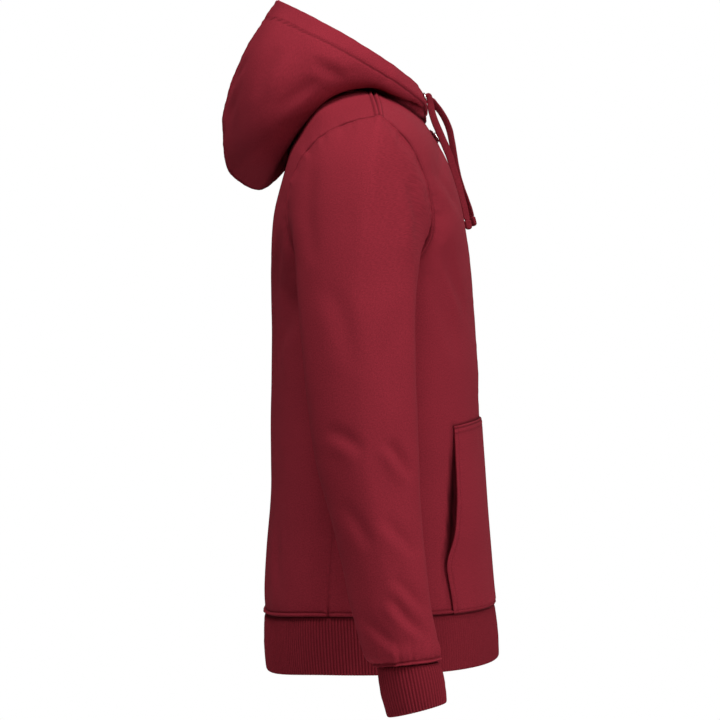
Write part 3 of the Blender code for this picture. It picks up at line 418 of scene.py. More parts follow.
def hoodGrid(neck):
    halfWidth, middleY, halfDepth = hood["neckOval"]
    seen = np.degrees(np.arctan2(neck[:, 0] / halfWidth, (middleY - neck[:, 1]) / halfDepth))
    seen[0], seen[-1] = 0, 180
    bearings = stops([(1, hood["columns"])], edgeLines[:7], hood["neckLength"]) * 180
    seam = pointsAt(bearings, seen, neck)
    table, face = np.array(hood["folds"]), hood["face"]
    shares = stops([(1, hood["rows"])], edgeLines, hood["height"])
    columns = []
    for bearing, start in zip(bearings, seam):
        turn = math.radians(bearing)
        edge = (
            max(face["halfWidth"] * math.sin(turn), start[0] if bearing < 90 else 0),
            face["middle"][0] - face["half"][0] * math.cos(turn),
            face["middle"][1] - face["half"][1] * math.cos(turn) + face["sway"] * math.sin(2 * turn),
        )
        columns.append(smoothRows([start, *rowBetween(table, bearing / 180), edge], shares))
    return np.array(columns).transpose(1, 0, 2)


# Relief on the cloth: seams, stitched grooves, puckers and folds, all as a height along the normal
def wave(along, period, seed):
    found = np.random.RandomState(seed)
    total = np.zeros_like(along)
    for k in range(6):
        size = period * (0.55 + 0.32 * k)
        total += np.sin(2 * math.pi * along / size + found.uniform(0, 6.28)) / (1 + 0.35 * k)
    return total / 3


def softness(points, size, seed):
    found = np.random.RandomState(seed)
    total = np.zeros(points.shape[:-1])
    for _ in range(9):
        direction = unit(found.normal(size=3) * np.array([1.0, 1.0, 0.7]))
        pitch = size * found.uniform(0.7, 1.5)
        total += np.sin(points @ direction * 2 * math.pi / pitch + found.uniform(0, 6.28))
    return total / 4


def borderDistance(grid, border):
    axis = 0 if border in ("low", "high") else 1
    length = pathLength(grid, axis)
    if border in ("high", "side"):
        length = np.take(length, [-1], axis=axis) - length
    return length


def borderLine(grid, border):
    return {"low": grid[0], "high": grid[-1], "centre": grid[:, 0], "side": grid[:, -1]}[border]


# Seams: a valley where two pieces meet, a roll beside it, and a stitched groove
seam = {
    "depth": 0.0022,
    "width": 0.0016,
    "ridge": 0.0010,
    "ridgeAt": 0.0036,
    "ridgeWidth": 0.0021,
    "stitch": 0.0009,
    "stitchWidth": 0.0010,
    "fade": 0.0036,
    "allowance": (0.0010, 0.0030, 0.0060),
    "short": {"centre": 0.42},
    "blend": 0.018,
    "rollAt": 0.0028,
    "rollWidth": 0.0017,
    "rollStitch": 0.0011,
}
# how far in from each seam its topstitch runs
topstitch = {
    "arm": 0.0062,
    "shoulder": 0.0058,
    "neck": 0.0055,
    "hem": 0.0056,
    "zip": 0.0062,
    "middle": 0.0060,
}
# puckers along each seam: distance in, height, step of the seed, and sometimes reach and period
puckers = {
    "panel": [
        ("hem", 0.008, 0.0005, 0),
        ("arm", 0.010, 0.0006, 10),
        ("neck", 0.008, 0.0005, 20),
        ("sides", 0.008, 0.0004, 30, 0.010, 0.026),
        ("shoulder", 0.008, 0.0003, 40),
        ("zip", 0.004, 0.0005, 50, 0.010, 0.032),
    ],
    "sleeve": [
        ("cuff", 0.010, 0.0011, 0, 0.011, 0.014),
        ("arm", 0.009, 0.0009, 10, 0.013, 0.022),
        ("under", 0.006, 0.0004, 20, 0.010, 0.024),
    ],
    "hood": [("neck", 0.008, 0.0008, 0), ("middle", 0.009, 0.0006, 10)],
    "pocket": [("mouth", 0.006, 0.0005, 0, 0.010, 0.030), ("hem", 0.008, 0.0005, 10)],
}
# soft unevenness of each cloth: height, size across, step of the seed
billows = {
    "panel": ((0.0009, 0.13, 60), (0.0003, 0.045, 61)),
    "sleeve": ((0.0012, 0.13, 60), (0.0004, 0.045, 61)),
    "hood": ((0.0010, 0.10, 60), (0.0004, 0.040, 61)),
    "pocket": ((0.0007, 0.08, 20),),
}
seeds = {
    "front": {"right": 11, "left": 47},
    "sleeve": {"right": 111, "left": 147},
    "back": {"right": 71, "left": 83},
    "hood": {"right": 201, "left": 243},
    "pocket": {"right": 301, "left": 331},
    "cuff": {"right": 430, "left": 432},
    "cord": {"right": 4, "left": 6},
    "hem": 401,
}


def lineField(grid, lines):
    # distance to the nearest of these lines at each point, and the place along it
    places, marks = [], []
    for line in lines:
        length = pathLength(line)
        at = np.unique(np.concatenate([length, np.arange(0, length[-1], 0.0006)]))
        places.append(pointsAt(at, length, line))
        marks.append(at)
    places, marks = np.concatenate(places), np.concatenate(marks)
    tree = KDTree(len(places))
    for index, place in enumerate(places):
        tree.insert(place, index)
    tree.balance()
    found = np.array([tree.find(point)[1:] for point in grid.reshape(-1, 3)])
    return found[:, 1].reshape(grid.shape[:-1]), marks[found[:, 0].astype(int)].reshape(grid.shape[:-1])


def seamHeight(distance):
    ridge = seam["ridge"] * bump(distance - seam["ridgeAt"], seam["ridgeWidth"])
    return ridge - seam["depth"] * bump(distance, seam["width"])


def stitchGroove(distance, at, share=1.0):
    return -seam["stitch"] * share * bump(distance - at, seam["stitchWidth"])


def piping(distance, height):
    # the roll of cloth that the rib's seam allowance pushes up, held by its topstitch
    held = seam["rollStitch"] * bump(distance - topstitch["hem"], seam["stitchWidth"])
    return height * bump(distance - seam["rollAt"], seam["rollWidth"]) - held


def gathers(field, at, size, seed, reach=0.012, period=0.018):
    distance, along = field
    return size * (
        wave(along, period, seed) * bump(distance - at, reach)
        + 0.8 * wave(along, 2.1 * period, seed + 1) * bump(distance - at - 0.4 * reach, 1.8 * reach)
    )


def puckered(name, fields, seed):
    rows = [row for row in puckers[name] if row[0] in fields]
    return sum(gathers(fields[line], at, size, seed + step, *rest) for line, at, size, step, *rest in rows)


def billowed(name, grid, seed):
    return sum(height * softness(grid, size, seed + step) for height, size, step in billows[name])


def settled(nearest, height, share=1):
    # the seam's own shape at the edge, and the rest of the relief a little way in
    return share * seamHeight(nearest) + height * ease(nearest / seam["fade"])


def shareNormals(cloths):
    # where pieces meet they take the mean of their facings, so that their edges stay together
    lines = []
    for index, (grid, normals, borders) in enumerate(cloths):
        for border in borders:
            lines.append((index, border, borderLine(grid, border), borderLine(normals, border).copy()))
    means = []
    for index, border, points, facing in lines:
        total = facing.copy()
        for other, _, places, ups in lines:
            if other == index:
                continue
            gap = np.linalg.norm(points[:, None] - places[None], axis=2)
            nearest = gap.argmin(1)
            total += ups[nearest] * (gap.min(1) < 0.004)[:, None]
        means.append(unit(np.stack([evened(total[:, k], 3) for k in range(3)], axis=1)))
    for (index, border, _, facing), mean in zip(lines, means):
        grid, normals, _ = cloths[index]
        weight = 1 - ease(borderDistance(grid, border) / seam["blend"])
        change = mean - facing
        normals += weight[..., None] * (change[None] if border in ("low", "high") else change[:, None])
        normals[...] = unit(normals)
    for (index, border, _, _), mean in zip(lines, means):
        borderLine(cloths[index][1], border)[...] = mean


def turnedIn(grid, normals, borders):
    # seam allowances: each of these borders goes on inwards along the facing
    for border in borders:
        axis = 1 if border in ("centre", "side") else 0
        edge, up = borderLine(grid, border), borderLine(normals, border)
        share = seam["short"].get(border, 1)
        inward = np.stack([edge - up * depth * share for depth in seam["allowance"]], axis)
        facing = np.stack([up] * len(seam["allowance"]), axis)
        if border in ("high", "side"):
            grid, normals = np.concatenate([grid, inward], axis), np.concatenate([normals, facing], axis)
        else:
            inward = np.flip(inward, axis)
            grid, normals = np.concatenate([inward, grid], axis), np.concatenate([facing, normals], axis)
    return grid


def padded(field, borders):
    # a field carried on over the seam allowances
    count = len(seam["allowance"])
    low, high, centre, side = (count * (name in borders) for name in ("low", "high", "centre", "side"))
    return np.pad(field, ((low, high), (centre, side)), mode="edge")


def paintedShadeAlong(*lines):
    # painted shade along lines: distance from each line, half width and darkness
    return np.max([share * bump(distance, width) for distance, width, share in lines], axis=0)


folding = {
    "strength": 1.35,
    "ridgeAt": 1.7,
    "ridgeWidth": 1.15,
    "turnedAway": 0.45,
    "ends": 0.6,
    # the two axes that a fold is laid out on, and how much the cloth faces that way
    "views": {
        "side": ((1, 2), lambda n: np.abs(n[..., 0])),
        "front": ((0, 2), lambda n: -n[..., 1]),
        "back": ((0, 2), lambda n: n[..., 1]),
    },
}


def lineDistance(flat, points):
    points = np.asarray(points, float)
    length = pathLength(points)
    best = np.full(flat.shape[:-1], 1e9)
    signed, along = np.zeros_like(best), np.zeros_like(best)
    for k in range(len(points) - 1):
        step = points[k + 1] - points[k]
        offset = flat - points[k]
        t = np.clip(offset @ step / (step @ step), 0, 1)
        away = offset - t[..., None] * step
        gap = np.linalg.norm(away, axis=-1)
        side = np.sign(step[0] * offset[..., 1] - step[1] * offset[..., 0])
        nearer = gap < best
        best = np.where(nearer, gap, best)
        signed = np.where(nearer, gap * side, signed)
        along = np.where(nearer, (length[k] + t * (length[k + 1] - length[k])) / length[-1], along)
    return signed, along


def foldRelief(grid, normals, view, folds):
    axes, facing = folding["views"][view]
    flat = grid[..., axes].copy()
    mask = ease(facing(normals) / folding["turnedAway"])
    if view == "side":
        mask = mask * (normals[..., 0] * grid[..., 0] > 0)
    else:
        flat[..., 0] = np.abs(flat[..., 0])
    height = np.zeros(grid.shape[:-1])
    for points, depth, width, ridge in folds:
        signed, along = lineDistance(flat, points)
        beside = bump(signed - folding["ridgeAt"] * width, folding["ridgeWidth"] * width)
        profile = ridge * beside - bump(signed, width)
        height += folding["strength"] * depth * profile * mask * np.sin(math.pi * along) ** folding["ends"]
    return height


# Making the meshes
def sheetMesh(name, grid, wrap=False, flip=False, kept=None, paintedShade=None):
    rows, columns = grid.shape[:2]
    closed = np.concatenate([grid, grid[:, :1]], axis=1) if wrap else grid
    u, v = pathLength(closed, 1), pathLength(closed, 0)
    mesh = bpy.data.meshes.new(name)
    i, j = np.meshgrid(np.arange(rows - 1), np.arange(columns if wrap else columns - 1), indexing="ij")
    corners = ((i, j), (i, j + 1), (i + 1, j + 1), (i + 1, j))
    quads = np.stack([a * columns + b % columns for a, b in corners], axis=-1).reshape(-1, 4)
    spots = np.stack([np.stack(corner, axis=-1) for corner in corners], axis=-2).reshape(-1, 4, 2)
    if kept is not None:
        quads, spots = quads[kept.ravel()], spots[kept.ravel()]
    if flip:
        quads, spots = quads[:, ::-1], spots[:, ::-1]
    mesh.from_pydata(grid.reshape(-1, 3).tolist(), [], quads.tolist())
    layer = mesh.uv_layers.new(name="cloth")
    flat = spots.reshape(-1, 2)
    uv = np.stack([u[flat[:, 0], flat[:, 1]], v[flat[:, 0], flat[:, 1]]], axis=1)
    layer.data.foreach_set("uv", uv.astype(np.float32).ravel())
    # painted shade per point, which the cloth's colour is darkened by
    if paintedShade is not None:
        depth = mesh.attributes.new("paintedShade", "FLOAT", "POINT")
        depth.data.foreach_set("value", np.clip(paintedShade, 0, 1).astype(np.float32).ravel())
    return linked(name, mesh)


def pick(*objects):
    bpy.ops.object.select_all(action="DESELECT")
    for obj in objects:
        obj.select_set(True)
    bpy.context.view_layer.objects.active = objects[0]


def applyModifiers(obj):
    pick(obj)
    for modifier in list(obj.modifiers):
        bpy.ops.object.modifier_apply(modifier=modifier.name)


def weldPoints(obj):
    shape = bmesh.new()
    shape.from_mesh(obj.data)
    bmesh.ops.remove_doubles(shape, verts=shape.verts, dist=1e-5)
    shape.to_mesh(obj.data)
    shape.free()


def thicken(obj, wall):
    shell = obj.modifiers.new("wall", "SOLIDIFY")
    shell.thickness = wall
    shell.offset = -1
    shell.use_even_offset = False
    applyModifiers(obj)
    obj.data.shade_smooth()
    obj.data.set_sharp_from_angle(angle=math.radians(70))


def joinPieces(name, objects):
    pick(*objects)
    bpy.ops.object.join()
    made = bpy.context.view_layer.objects.active
    made.name = name
    made.data.name = name
    return made


def finishPiece(piece, material, nodes, bodyName="garment"):
    piece.data.materials.clear()
    piece.data.materials.append(material)
    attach(piece, bodyName)
    if nodes:
        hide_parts(*nodes)
    return piece


# Sewing thread: short rounded stitches laid along a run of points
threads = {
    "radius": 0.00027,
    "pitch": 0.0034,
    "length": 0.0026,
    "sink": 0.0001,
    "ahead": 0.0004,
    "aboveHem": 0.0052,
    "sides": 4,
    # place along the stitch, lift and size of each of its rings
    "stations": ((-0.5, -1.0, 0.45), (-0.3, 0.3, 1.0), (0.3, 0.3, 1.0), (0.5, -1.0, 0.45)),
}


def borderRun(grid, normals, border, distance, start=0, stop=None):
    # the line at this distance from a border, from one row or column to another
    if border in ("centre", "side"):
        grid, normals = grid.transpose(1, 0, 2), normals.transpose(1, 0, 2)
    if border in ("high", "side"):
        grid, normals = grid[::-1], normals[::-1]
    length = pathLength(grid)
    points, facings = [], []
    for j in range(grid.shape[1])[start:stop]:
        points.append([np.interp(distance, length[:, j], grid[:, j, k]) for k in range(3)])
        facings.append([np.interp(distance, length[:, j], normals[:, j, k]) for k in range(3)])
    return np.array(points), unit(np.array(facings))


def stitchMesh(name, runs):
    radius, sides, stations = threads["radius"], threads["sides"], threads["stations"]
    turns = np.linspace(0, 2 * math.pi, sides, endpoint=False)
    verts, faces = [], []
    for points, facings in runs:
        length = pathLength(points)
        count = int(length[-1] / threads["pitch"])
        middles = (np.arange(count) + 0.5) * length[-1] / max(count, 1)
        place, ahead = pointsAt(middles, length, points), pointsAt(middles + threads["ahead"], length, points)
        up = unit(pointsAt(middles, length, facings))
        along = unit(ahead - place)
        across = unit(np.cross(up, along))
        up = np.cross(along, across)
        for p, a, s, u in zip(place, along, across, up):
            first = len(verts)
            for shift, lift, size in stations:
                centre = p + a * shift * threads["length"] + u * (lift * radius - threads["sink"])
                for turn in turns:
                    verts.append(centre + (s * math.cos(turn) + u * math.sin(turn)) * radius * size)
            for ring in range(len(stations) - 1):
                for k in range(sides):
                    n = (k + 1) % sides
                    low, high = first + ring * sides, first + (ring + 1) * sides
                    faces.append((low + k, low + n, high + n, high + k))
            faces.append(tuple(first + k for k in range(sides))[::-1])
            faces.append(tuple(first + (len(stations) - 1) * sides + k for k in range(sides)))
    mesh = bpy.data.meshes.new(name)
    mesh.from_pydata([tuple(v) for v in verts], [], faces)
    mesh.validate()
    made = linked(name, mesh)
    pick(made)
    bpy.ops.object.mode_set(mode="EDIT")
    bpy.ops.mesh.select_all(action="SELECT")
    bpy.ops.mesh.normals_make_consistent(inside=False)
    bpy.ops.object.mode_set(mode="OBJECT")
    mesh.shade_smooth()
    return made


# Shader building
class Wire:
    # an output in a node tree; sums and products of it add the nodes they need
    def __init__(self, tree, socket):
        self.tree = tree
        self.socket = socket

    def math(self, operation, *others):
        return node(self.tree, "ShaderNodeMath", list(enumerate((self, *others))), operation=operation)

    def __add__(self, other):
        return self.math("ADD", other)

    def __mul__(self, other):
        return self.math("MULTIPLY", other)

    def __sub__(self, other):
        return self.math("SUBTRACT", other)

    def __rsub__(self, other):
        return self * -1 + other

    __radd__ = __add__
    __rmul__ = __mul__


def connect(tree, socket, value):
    if isinstance(value, Wire):
        tree.links.new(value.socket, socket)
    else:
        socket.default_value = value


def node(tree, kind, inputs=(), output=0, **settings):
    made = tree.nodes.new(kind)
    for name, value in settings.items():
        setattr(made, name, value)
    for key, value in inputs:
        connect(tree, made.inputs[key], value)
    return Wire(tree, made.outputs[output])


def blendColours(tree, share, low, high):
    made = tree.nodes.new("ShaderNodeMix")
    made.data_type = "RGBA"
    connect(tree, made.inputs["Factor"], share)
    connect(tree, made.inputs[6], low)
    connect(tree, made.inputs[7], high)
    return Wire(tree, made.outputs[2])


def noise(tree, vector, scale, detail=2.0, roughness=0.5):
    return node(
        tree,
        "ShaderNodeTexNoise",
        [("Vector", vector), ("Scale", scale), ("Detail", detail), ("Roughness", roughness)],
        output="Fac",
    )


def newMaterial(name, colour, roughness, metallic=0.0, sheen=0.0):
    made = bpy.data.materials.new(name)
    made.use_nodes = True
    tree = made.node_tree
    shader = next(n for n in tree.nodes if n.type == "BSDF_PRINCIPLED")
    shader.inputs["Base Color"].default_value = (*colour, 1)
    shader.inputs["Roughness"].default_value = roughness
    shader.inputs["Metallic"].default_value = metallic
    shader.inputs["Specular IOR Level"].default_value = 0.5 if metallic else 0.035
    if sheen:
        shader.inputs["Sheen Weight"].default_value = sheen
        shader.inputs["Sheen Roughness"].default_value = 0.5
        shader.inputs["Sheen Tint"].default_value = (1.0, 0.14, 0.2, 1)
    return made, tree, shader


def shaded(colour, factor):
    return tuple(min(c * factor, 1) for c in colour) + (1,)


# how strong the painted shade in seams, stitch lines and between ribs gets, and the share of the cloth's
# colour left in it
paintedShadeDark = (0.85, 0.10)


def clothMaterial(name, colour, grain, depth, contrast):
    made, tree, shader = newMaterial(name, colour, 0.92, sheen=0.02)
    uv = node(tree, "ShaderNodeUVMap", uv_map="cloth")
    place = node(tree, "ShaderNodeTexCoord", output="Object")
    parts = node(tree, "ShaderNodeSeparateXYZ", [("Vector", uv)])
    across, along = parts, Wire(tree, parts.socket.node.outputs["Y"])
    # knit wales and courses, then loose fibres over them
    wale = (across * (2 * math.pi / grain)).math("SINE")
    course = (along * (2 * math.pi / (grain * 0.75)) + wale * 0.9).math("SINE")
    fibre = noise(tree, uv, 1600.0, 3.0, 0.65)
    fleck = noise(tree, uv, 620.0, 2.0, 0.6)
    patch = noise(tree, place, 11.0, 2.0, 0.5)
    mottle = fleck * 0.62 + fibre * 0.28 + patch * 0.10
    share = node(
        tree,
        "ShaderNodeMapRange",
        [("Value", mottle), ("From Min", 0.36), ("From Max", 0.64), ("To Min", 0.0), ("To Max", 1.0)],
    )
    base = blendColours(tree, share, shaded(colour, 1 - contrast), shaded(colour, 1 + contrast))
    # painted shade: the colour darkens down into seams, stitch lines and between ribs, where little light
    # reaches
    paintedShadeFac = node(tree, "ShaderNodeAttribute", output="Fac", attribute_name="paintedShade")
    base = blendColours(tree, paintedShadeFac * paintedShadeDark[0], base, shaded(colour, paintedShadeDark[1]))
    connect(tree, shader.inputs["Base Color"], base)
    height = wale * 0.25 + course * 0.25 + fibre * 1.1 + fleck * 0.9
    relief = node(
        tree, "ShaderNodeBump", [("Height", height), ("Strength", 1.0), ("Distance", depth)], output="Normal"
    )
    connect(tree, shader.inputs["Normal"], relief)
    return made


# name, colour, grain, depth of the relief, contrast
fleece = clothMaterial("fleece", (0.247, 0.0207, 0.0335), 0.0012, 0.00012, 0.22)
ribKnit = clothMaterial("ribKnit", (0.215, 0.0172, 0.0278), 0.0012, 0.00010, 0.20)
braid = clothMaterial("braid", (0.185, 0.0155, 0.0250), 0.0011, 0.00010, 0.20)
tapeCloth = clothMaterial("tape", (0.150, 0.013, 0.022), 0.0009, 0.00008, 0.15)
threadCloth = newMaterial("thread", (0.165, 0.014, 0.024), 0.75)[0]
toothPlastic = newMaterial("teeth", (0.120, 0.010, 0.018), 0.42)[0]


def metalMaterial():
    made, tree, shader = newMaterial("nickel", (0.62, 0.61, 0.59), 0.26, metallic=1.0)
    place = node(tree, "ShaderNodeTexCoord", output="Object")
    wear = noise(tree, place, 900.0, 3.0, 0.6)
    worn = node(
        tree,
        "ShaderNodeMapRange",
        [("Value", wear), ("From Min", 0.3), ("From Max", 0.7), ("To Min", 0.2), ("To Max", 0.38)],
    )
    connect(tree, shader.inputs["Roughness"], worn)
    return made


nickel = metalMaterial()


# Drawcords: flat braid, face outwards at the eyelet and turning edge on lower down
cords = {
    "width": 0.0090,
    "narrow": 0.0066,
    "thick": 0.0024,
    "rings": 150,
    "around": 20,
    "braid": {"pitch": 0.0021, "slant": 1.1, "height": 0.00013, "edge": 0.00012},
    # how square the section is across its flat side and across its thickness
    "corners": (0.62, 0.75),
    # distances from the eyelet: the two points inside it, and where it begins and ends to spread
    "inside": (0.0052, 0.0024),
    "spread": (0.004, 0.016),
    "start": (0.0277, -0.0694, -0.0013),
    "eyelet": (0.0275, -0.0655, -0.0030),
    # share of the way down, turn of the flat face from sideways (0) to forwards (90)
    "turns": {
        "right": [(0, 52), (0.12, 24), (0.32, 10), (0.55, 12), (0.7, 26), (0.85, 38), (1, 36)],
        "left": [(0, 52), (0.15, 46), (0.35, 36), (0.5, 36), (0.7, 46), (0.85, 58), (1, 52)],
    },
    "routes": {
        "right": [
            (-0.0268, -0.0716, -0.0100), (-0.0264, -0.0734, -0.0200), (-0.0256, -0.0772, -0.0320),
            (-0.0246, -0.0828, -0.0450), (-0.0236, -0.0889, -0.0589), (-0.0226, -0.0945, -0.0725),
            (-0.0217, -0.1000, -0.0895), (-0.0211, -0.1050, -0.1048), (-0.0207, -0.1096, -0.1217),
            (-0.0206, -0.1134, -0.1371), (-0.0206, -0.1156, -0.1480),
        ],
        "left": [
            (0.0268, -0.0750, -0.0020), (0.0263, -0.0800, -0.0080), (0.0256, -0.0860, -0.0160),
            (0.0248, -0.0918, -0.0262), (0.0240, -0.0960, -0.0370), (0.0230, -0.0988, -0.0500),
            (0.0220, -0.1011, -0.0640), (0.0212, -0.1038, -0.0800), (0.0206, -0.1072, -0.0950),
            (0.0202, -0.1116, -0.1086), (0.0199, -0.1160, -0.1200), (0.0198, -0.1204, -0.1328),
            (0.0198, -0.1228, -0.1420),
        ],
    },
    "tip": {
        "length": 0.0138,
        "width": 0.0092,
        "thick": 0.0052,
        "overlap": 0.0015,
        # how much narrower it is sewn, where, and over how long a share of it
        "waist": (0.34, 0.16, 0.05),
        "rings": 26,
        "around": 24,
    },
}


def braidRelief(length, turn):
    weave = cords["braid"]
    slant = np.sin(2 * math.pi * (length / weave["pitch"] + np.abs(np.cos(turn)) * weave["slant"]))
    return weave["height"] * slant + weave["edge"] * np.cos(2 * turn) ** 2


def strapMesh(name, points, faces, widths, thicks, around):
    # a flat rounded tube: faces holds the outward direction of its flat side at each point
    along = unit(np.gradient(points, axis=0))
    side = unit(np.cross(faces, along))
    out = np.cross(along, side)
    turns = np.linspace(0, 2 * math.pi, around, endpoint=False)
    pairs = zip((np.cos(turns), np.sin(turns)), cords["corners"])
    flatX, flatY = (np.sign(part) * np.abs(part) ** power for part, power in pairs)
    length = pathLength(points)
    height = braidRelief(length[:, None], turns[None, :])
    rings = (
        points[:, None]
        + side[:, None] * (flatX[None] * widths[:, None] / 2)[..., None]
        + out[:, None] * (flatY[None] * (thicks[:, None] / 2 + height))[..., None]
    )
    mesh = bpy.data.meshes.new(name)
    count = len(points)
    quads = []
    for i in range(count - 1):
        for j in range(around):
            k = (j + 1) % around
            quads.append((i * around + j, i * around + k, (i + 1) * around + k, (i + 1) * around + j))
    verts = rings.reshape(-1, 3).tolist()
    for ring, reverse in ((0, True), (count - 1, False)):
        verts.append(points[ring].tolist())
        for j in range(around):
            k = (j + 1) % around
            pair = (ring * around + j, ring * around + k)
            quads.append((*(pair[::-1] if reverse else pair), len(verts) - 1))
    mesh.from_pydata(verts, [], quads)
    layer = mesh.uv_layers.new(name="cloth")
    uvOf = np.zeros((len(verts), 2))
    uvOf[: count * around, 0] = np.tile(turns * widths.mean() / math.pi, count)
    uvOf[: count * around, 1] = np.repeat(length, around)
    loops = np.zeros(len(mesh.loops), np.int32)
    mesh.loops.foreach_get("vertex_index", loops)
    layer.data.foreach_set("uv", uvOf[loops].astype(np.float32).ravel())
    mesh.shade_smooth()
    return linked(name, mesh)


def cordTip(name, end, along, face):
    # the braid folded back on itself and sewn across
    tip = cords["tip"]
    steps = np.linspace(0, 1, tip["rings"])
    bulge = np.sqrt(np.maximum(1 - (2 * steps - 1) ** 6, 0.0))
    points = end + np.outer(steps * tip["length"], along)
    narrower, place, reach = tip["waist"]
    waist = 1 - narrower * bump(steps - place, reach)
    widths = tip["width"] * np.maximum(bulge, 0.35) * waist
    thicks = tip["thick"] * np.maximum(bulge, 0.3) * waist
    return strapMesh(name, points, np.tile(face, (len(steps), 1)), widths, thicks, tip["around"])


def makeCord(side, sign):
    start, eye = (onSide(np.array(cords[name]), sign) for name in ("start", "eyelet"))
    inward = unit(eye - start)
    begin = [start + inward * distance for distance in cords["inside"]]
    line = smoothRows([*begin, start, *cords["routes"][side]], np.linspace(0, 1, cords["rings"]))
    length = pathLength(line)
    share = length / length[-1]
    table = np.array(cords["turns"][side])
    angle = evened(np.radians(np.interp(share, table[:, 0], table[:, 1])), 9)
    faces = np.stack([sign * np.cos(angle), -np.sin(angle), np.zeros_like(angle)], 1)
    near, far = cords["spread"]
    grow = ease((length - near) / (far - near))
    widths = cords["narrow"] + (cords["width"] - cords["narrow"]) * grow
    widths *= 1 + 0.03 * wave(length, 0.03, seeds["cord"][side])
    thicks = cords["thick"] * (1 + 0.5 * (1 - grow)) + np.zeros_like(length)
    cord = strapMesh(f"cord_{side}", line, faces, widths, thicks, cords["around"])
    down = unit(line[-1] - line[-3])
    tip = cordTip(f"cordTip_{side}", line[-1] - down * cords["tip"]["overlap"], down, faces[-1])
    finishPiece(cord, braid, [f"drawcord_{side}"])
    finishPiece(tip, braid, [f"cord_end_{side}"])


for side, sign in bothSides:
    makeCord(side, sign)
print("cords made")


# Fronts, back, sleeves and hood share their seam lines
def smoothCrown(cloth):
    # the sleeve runs on evenly below the end of the shoulder seam
    around = pathLength(np.concatenate([cloth, cloth[:, :1]], axis=1), 1)
    away = np.minimum(around[:, :-1], around[:, -1:] - around[:, :-1])
    crown = sleeve["crown"]
    share = (bump(away, crown["around"]) * ease(borderDistance(cloth, "high") / crown["down"]))[..., None] / 2
    for _ in range(crown["rounds"]):
        cloth = cloth + share * ((np.roll(cloth, 1, axis=1) + np.roll(cloth, -1, axis=1)) / 2 - cloth)
    return cloth


frontRows, backRows = bodyRows()
ringCount = len(body["rings"])
frontTop, backTop = (ringCount + len(body[name]) - 1 for name in ("chest", "upperBack"))
front, frontPit, frontNeck = panelGrid(frontRows, frontTop, (50, 46, 58, 24), 62)
back, backPit, backNeck = panelGrid(backRows, backTop, (48, 44, 60, 26), 52)
armhole = np.concatenate([back[backPit:, -1][::-1], front[frontPit + 1 : -1, -1]])
sleeveCloth = smoothCrown(sleeveGrid(armhole)[::-1])
neckLine = np.concatenate([front[frontNeck:, 0], back[backNeck:-1, 0][::-1]])
hoodCloth = hoodGrid(neckLine)
backArmhole = len(back) - backPit
print("grids", front.shape, back.shape, sleeveCloth.shape, hoodCloth.shape)

# Main folds: points in the view they are seen from, depth, width, share of the depth as a ridge beside it
sleeveFolds = {
    "right": [
        ([(-0.0181, -0.4027), (-0.0310, -0.4200), (-0.0439, -0.4425)], 0.0034, 0.0065, 0.7),
        ([(0.0500, -0.3900), (0.0300, -0.3980), (0.0060, -0.4150)], 0.0018, 0.0080, 0.6),
        ([(-0.0150, -0.4850), (-0.0300, -0.5030), (-0.0520, -0.5280)], 0.0020, 0.0075, 0.7),
        ([(0.0330, -0.4700), (0.0160, -0.4900), (0.0000, -0.5180)], 0.0016, 0.0085, 0.5),
        ([(-0.0250, -0.5480), (-0.0450, -0.5700), (-0.0620, -0.5900)], 0.0022, 0.0065, 0.8),
        ([(-0.0200, -0.5700), (-0.0400, -0.5950), (-0.0640, -0.6160)], 0.0024, 0.0060, 0.8),
        ([(0.0120, -0.5900), (-0.0100, -0.6100), (-0.0350, -0.6300)], 0.0016, 0.0060, 0.7),
        ([(-0.0430, -0.1150), (-0.0540, -0.1600), (-0.0520, -0.2100)], 0.0022, 0.0075, 0.8),
        ([(0.0640, -0.1000), (0.0700, -0.1500), (0.0640, -0.2100)], 0.0020, 0.0080, 0.7),
        ([(0.0500, -0.2300), (0.0300, -0.2700), (0.0150, -0.3300)], 0.0014, 0.0120, 0.5),
        ([(-0.0350, -0.2500), (-0.0200, -0.3100), (-0.0250, -0.3700)], 0.0012, 0.0110, 0.5),
    ],
    "left": [
        ([(-0.0150, -0.3950), (-0.0300, -0.4150), (-0.0450, -0.4350)], 0.0030, 0.0070, 0.7),
        ([(0.0520, -0.4000), (0.0320, -0.4060), (0.0100, -0.4220)], 0.0018, 0.0080, 0.6),
        ([(-0.0120, -0.4750), (-0.0320, -0.4980), (-0.0540, -0.5180)], 0.0020, 0.0080, 0.7),
        ([(0.0350, -0.4850), (0.0180, -0.5050), (0.0020, -0.5280)], 0.0016, 0.0085, 0.5),
        ([(-0.0220, -0.5450), (-0.0420, -0.5660), (-0.0630, -0.5850)], 0.0022, 0.0065, 0.8),
        ([(-0.0220, -0.5780), (-0.0420, -0.5990), (-0.0640, -0.6180)], 0.0022, 0.0060, 0.8),
        ([(-0.0440, -0.1200), (-0.0550, -0.1650), (-0.0500, -0.2200)], 0.0022, 0.0080, 0.8),
        ([(0.0650, -0.1050), (0.0690, -0.1600), (0.0620, -0.2200)], 0.0020, 0.0080, 0.7),
        ([(0.0480, -0.2400), (0.0320, -0.2850), (0.0130, -0.3400)], 0.0014, 0.0120, 0.5),
    ],
}
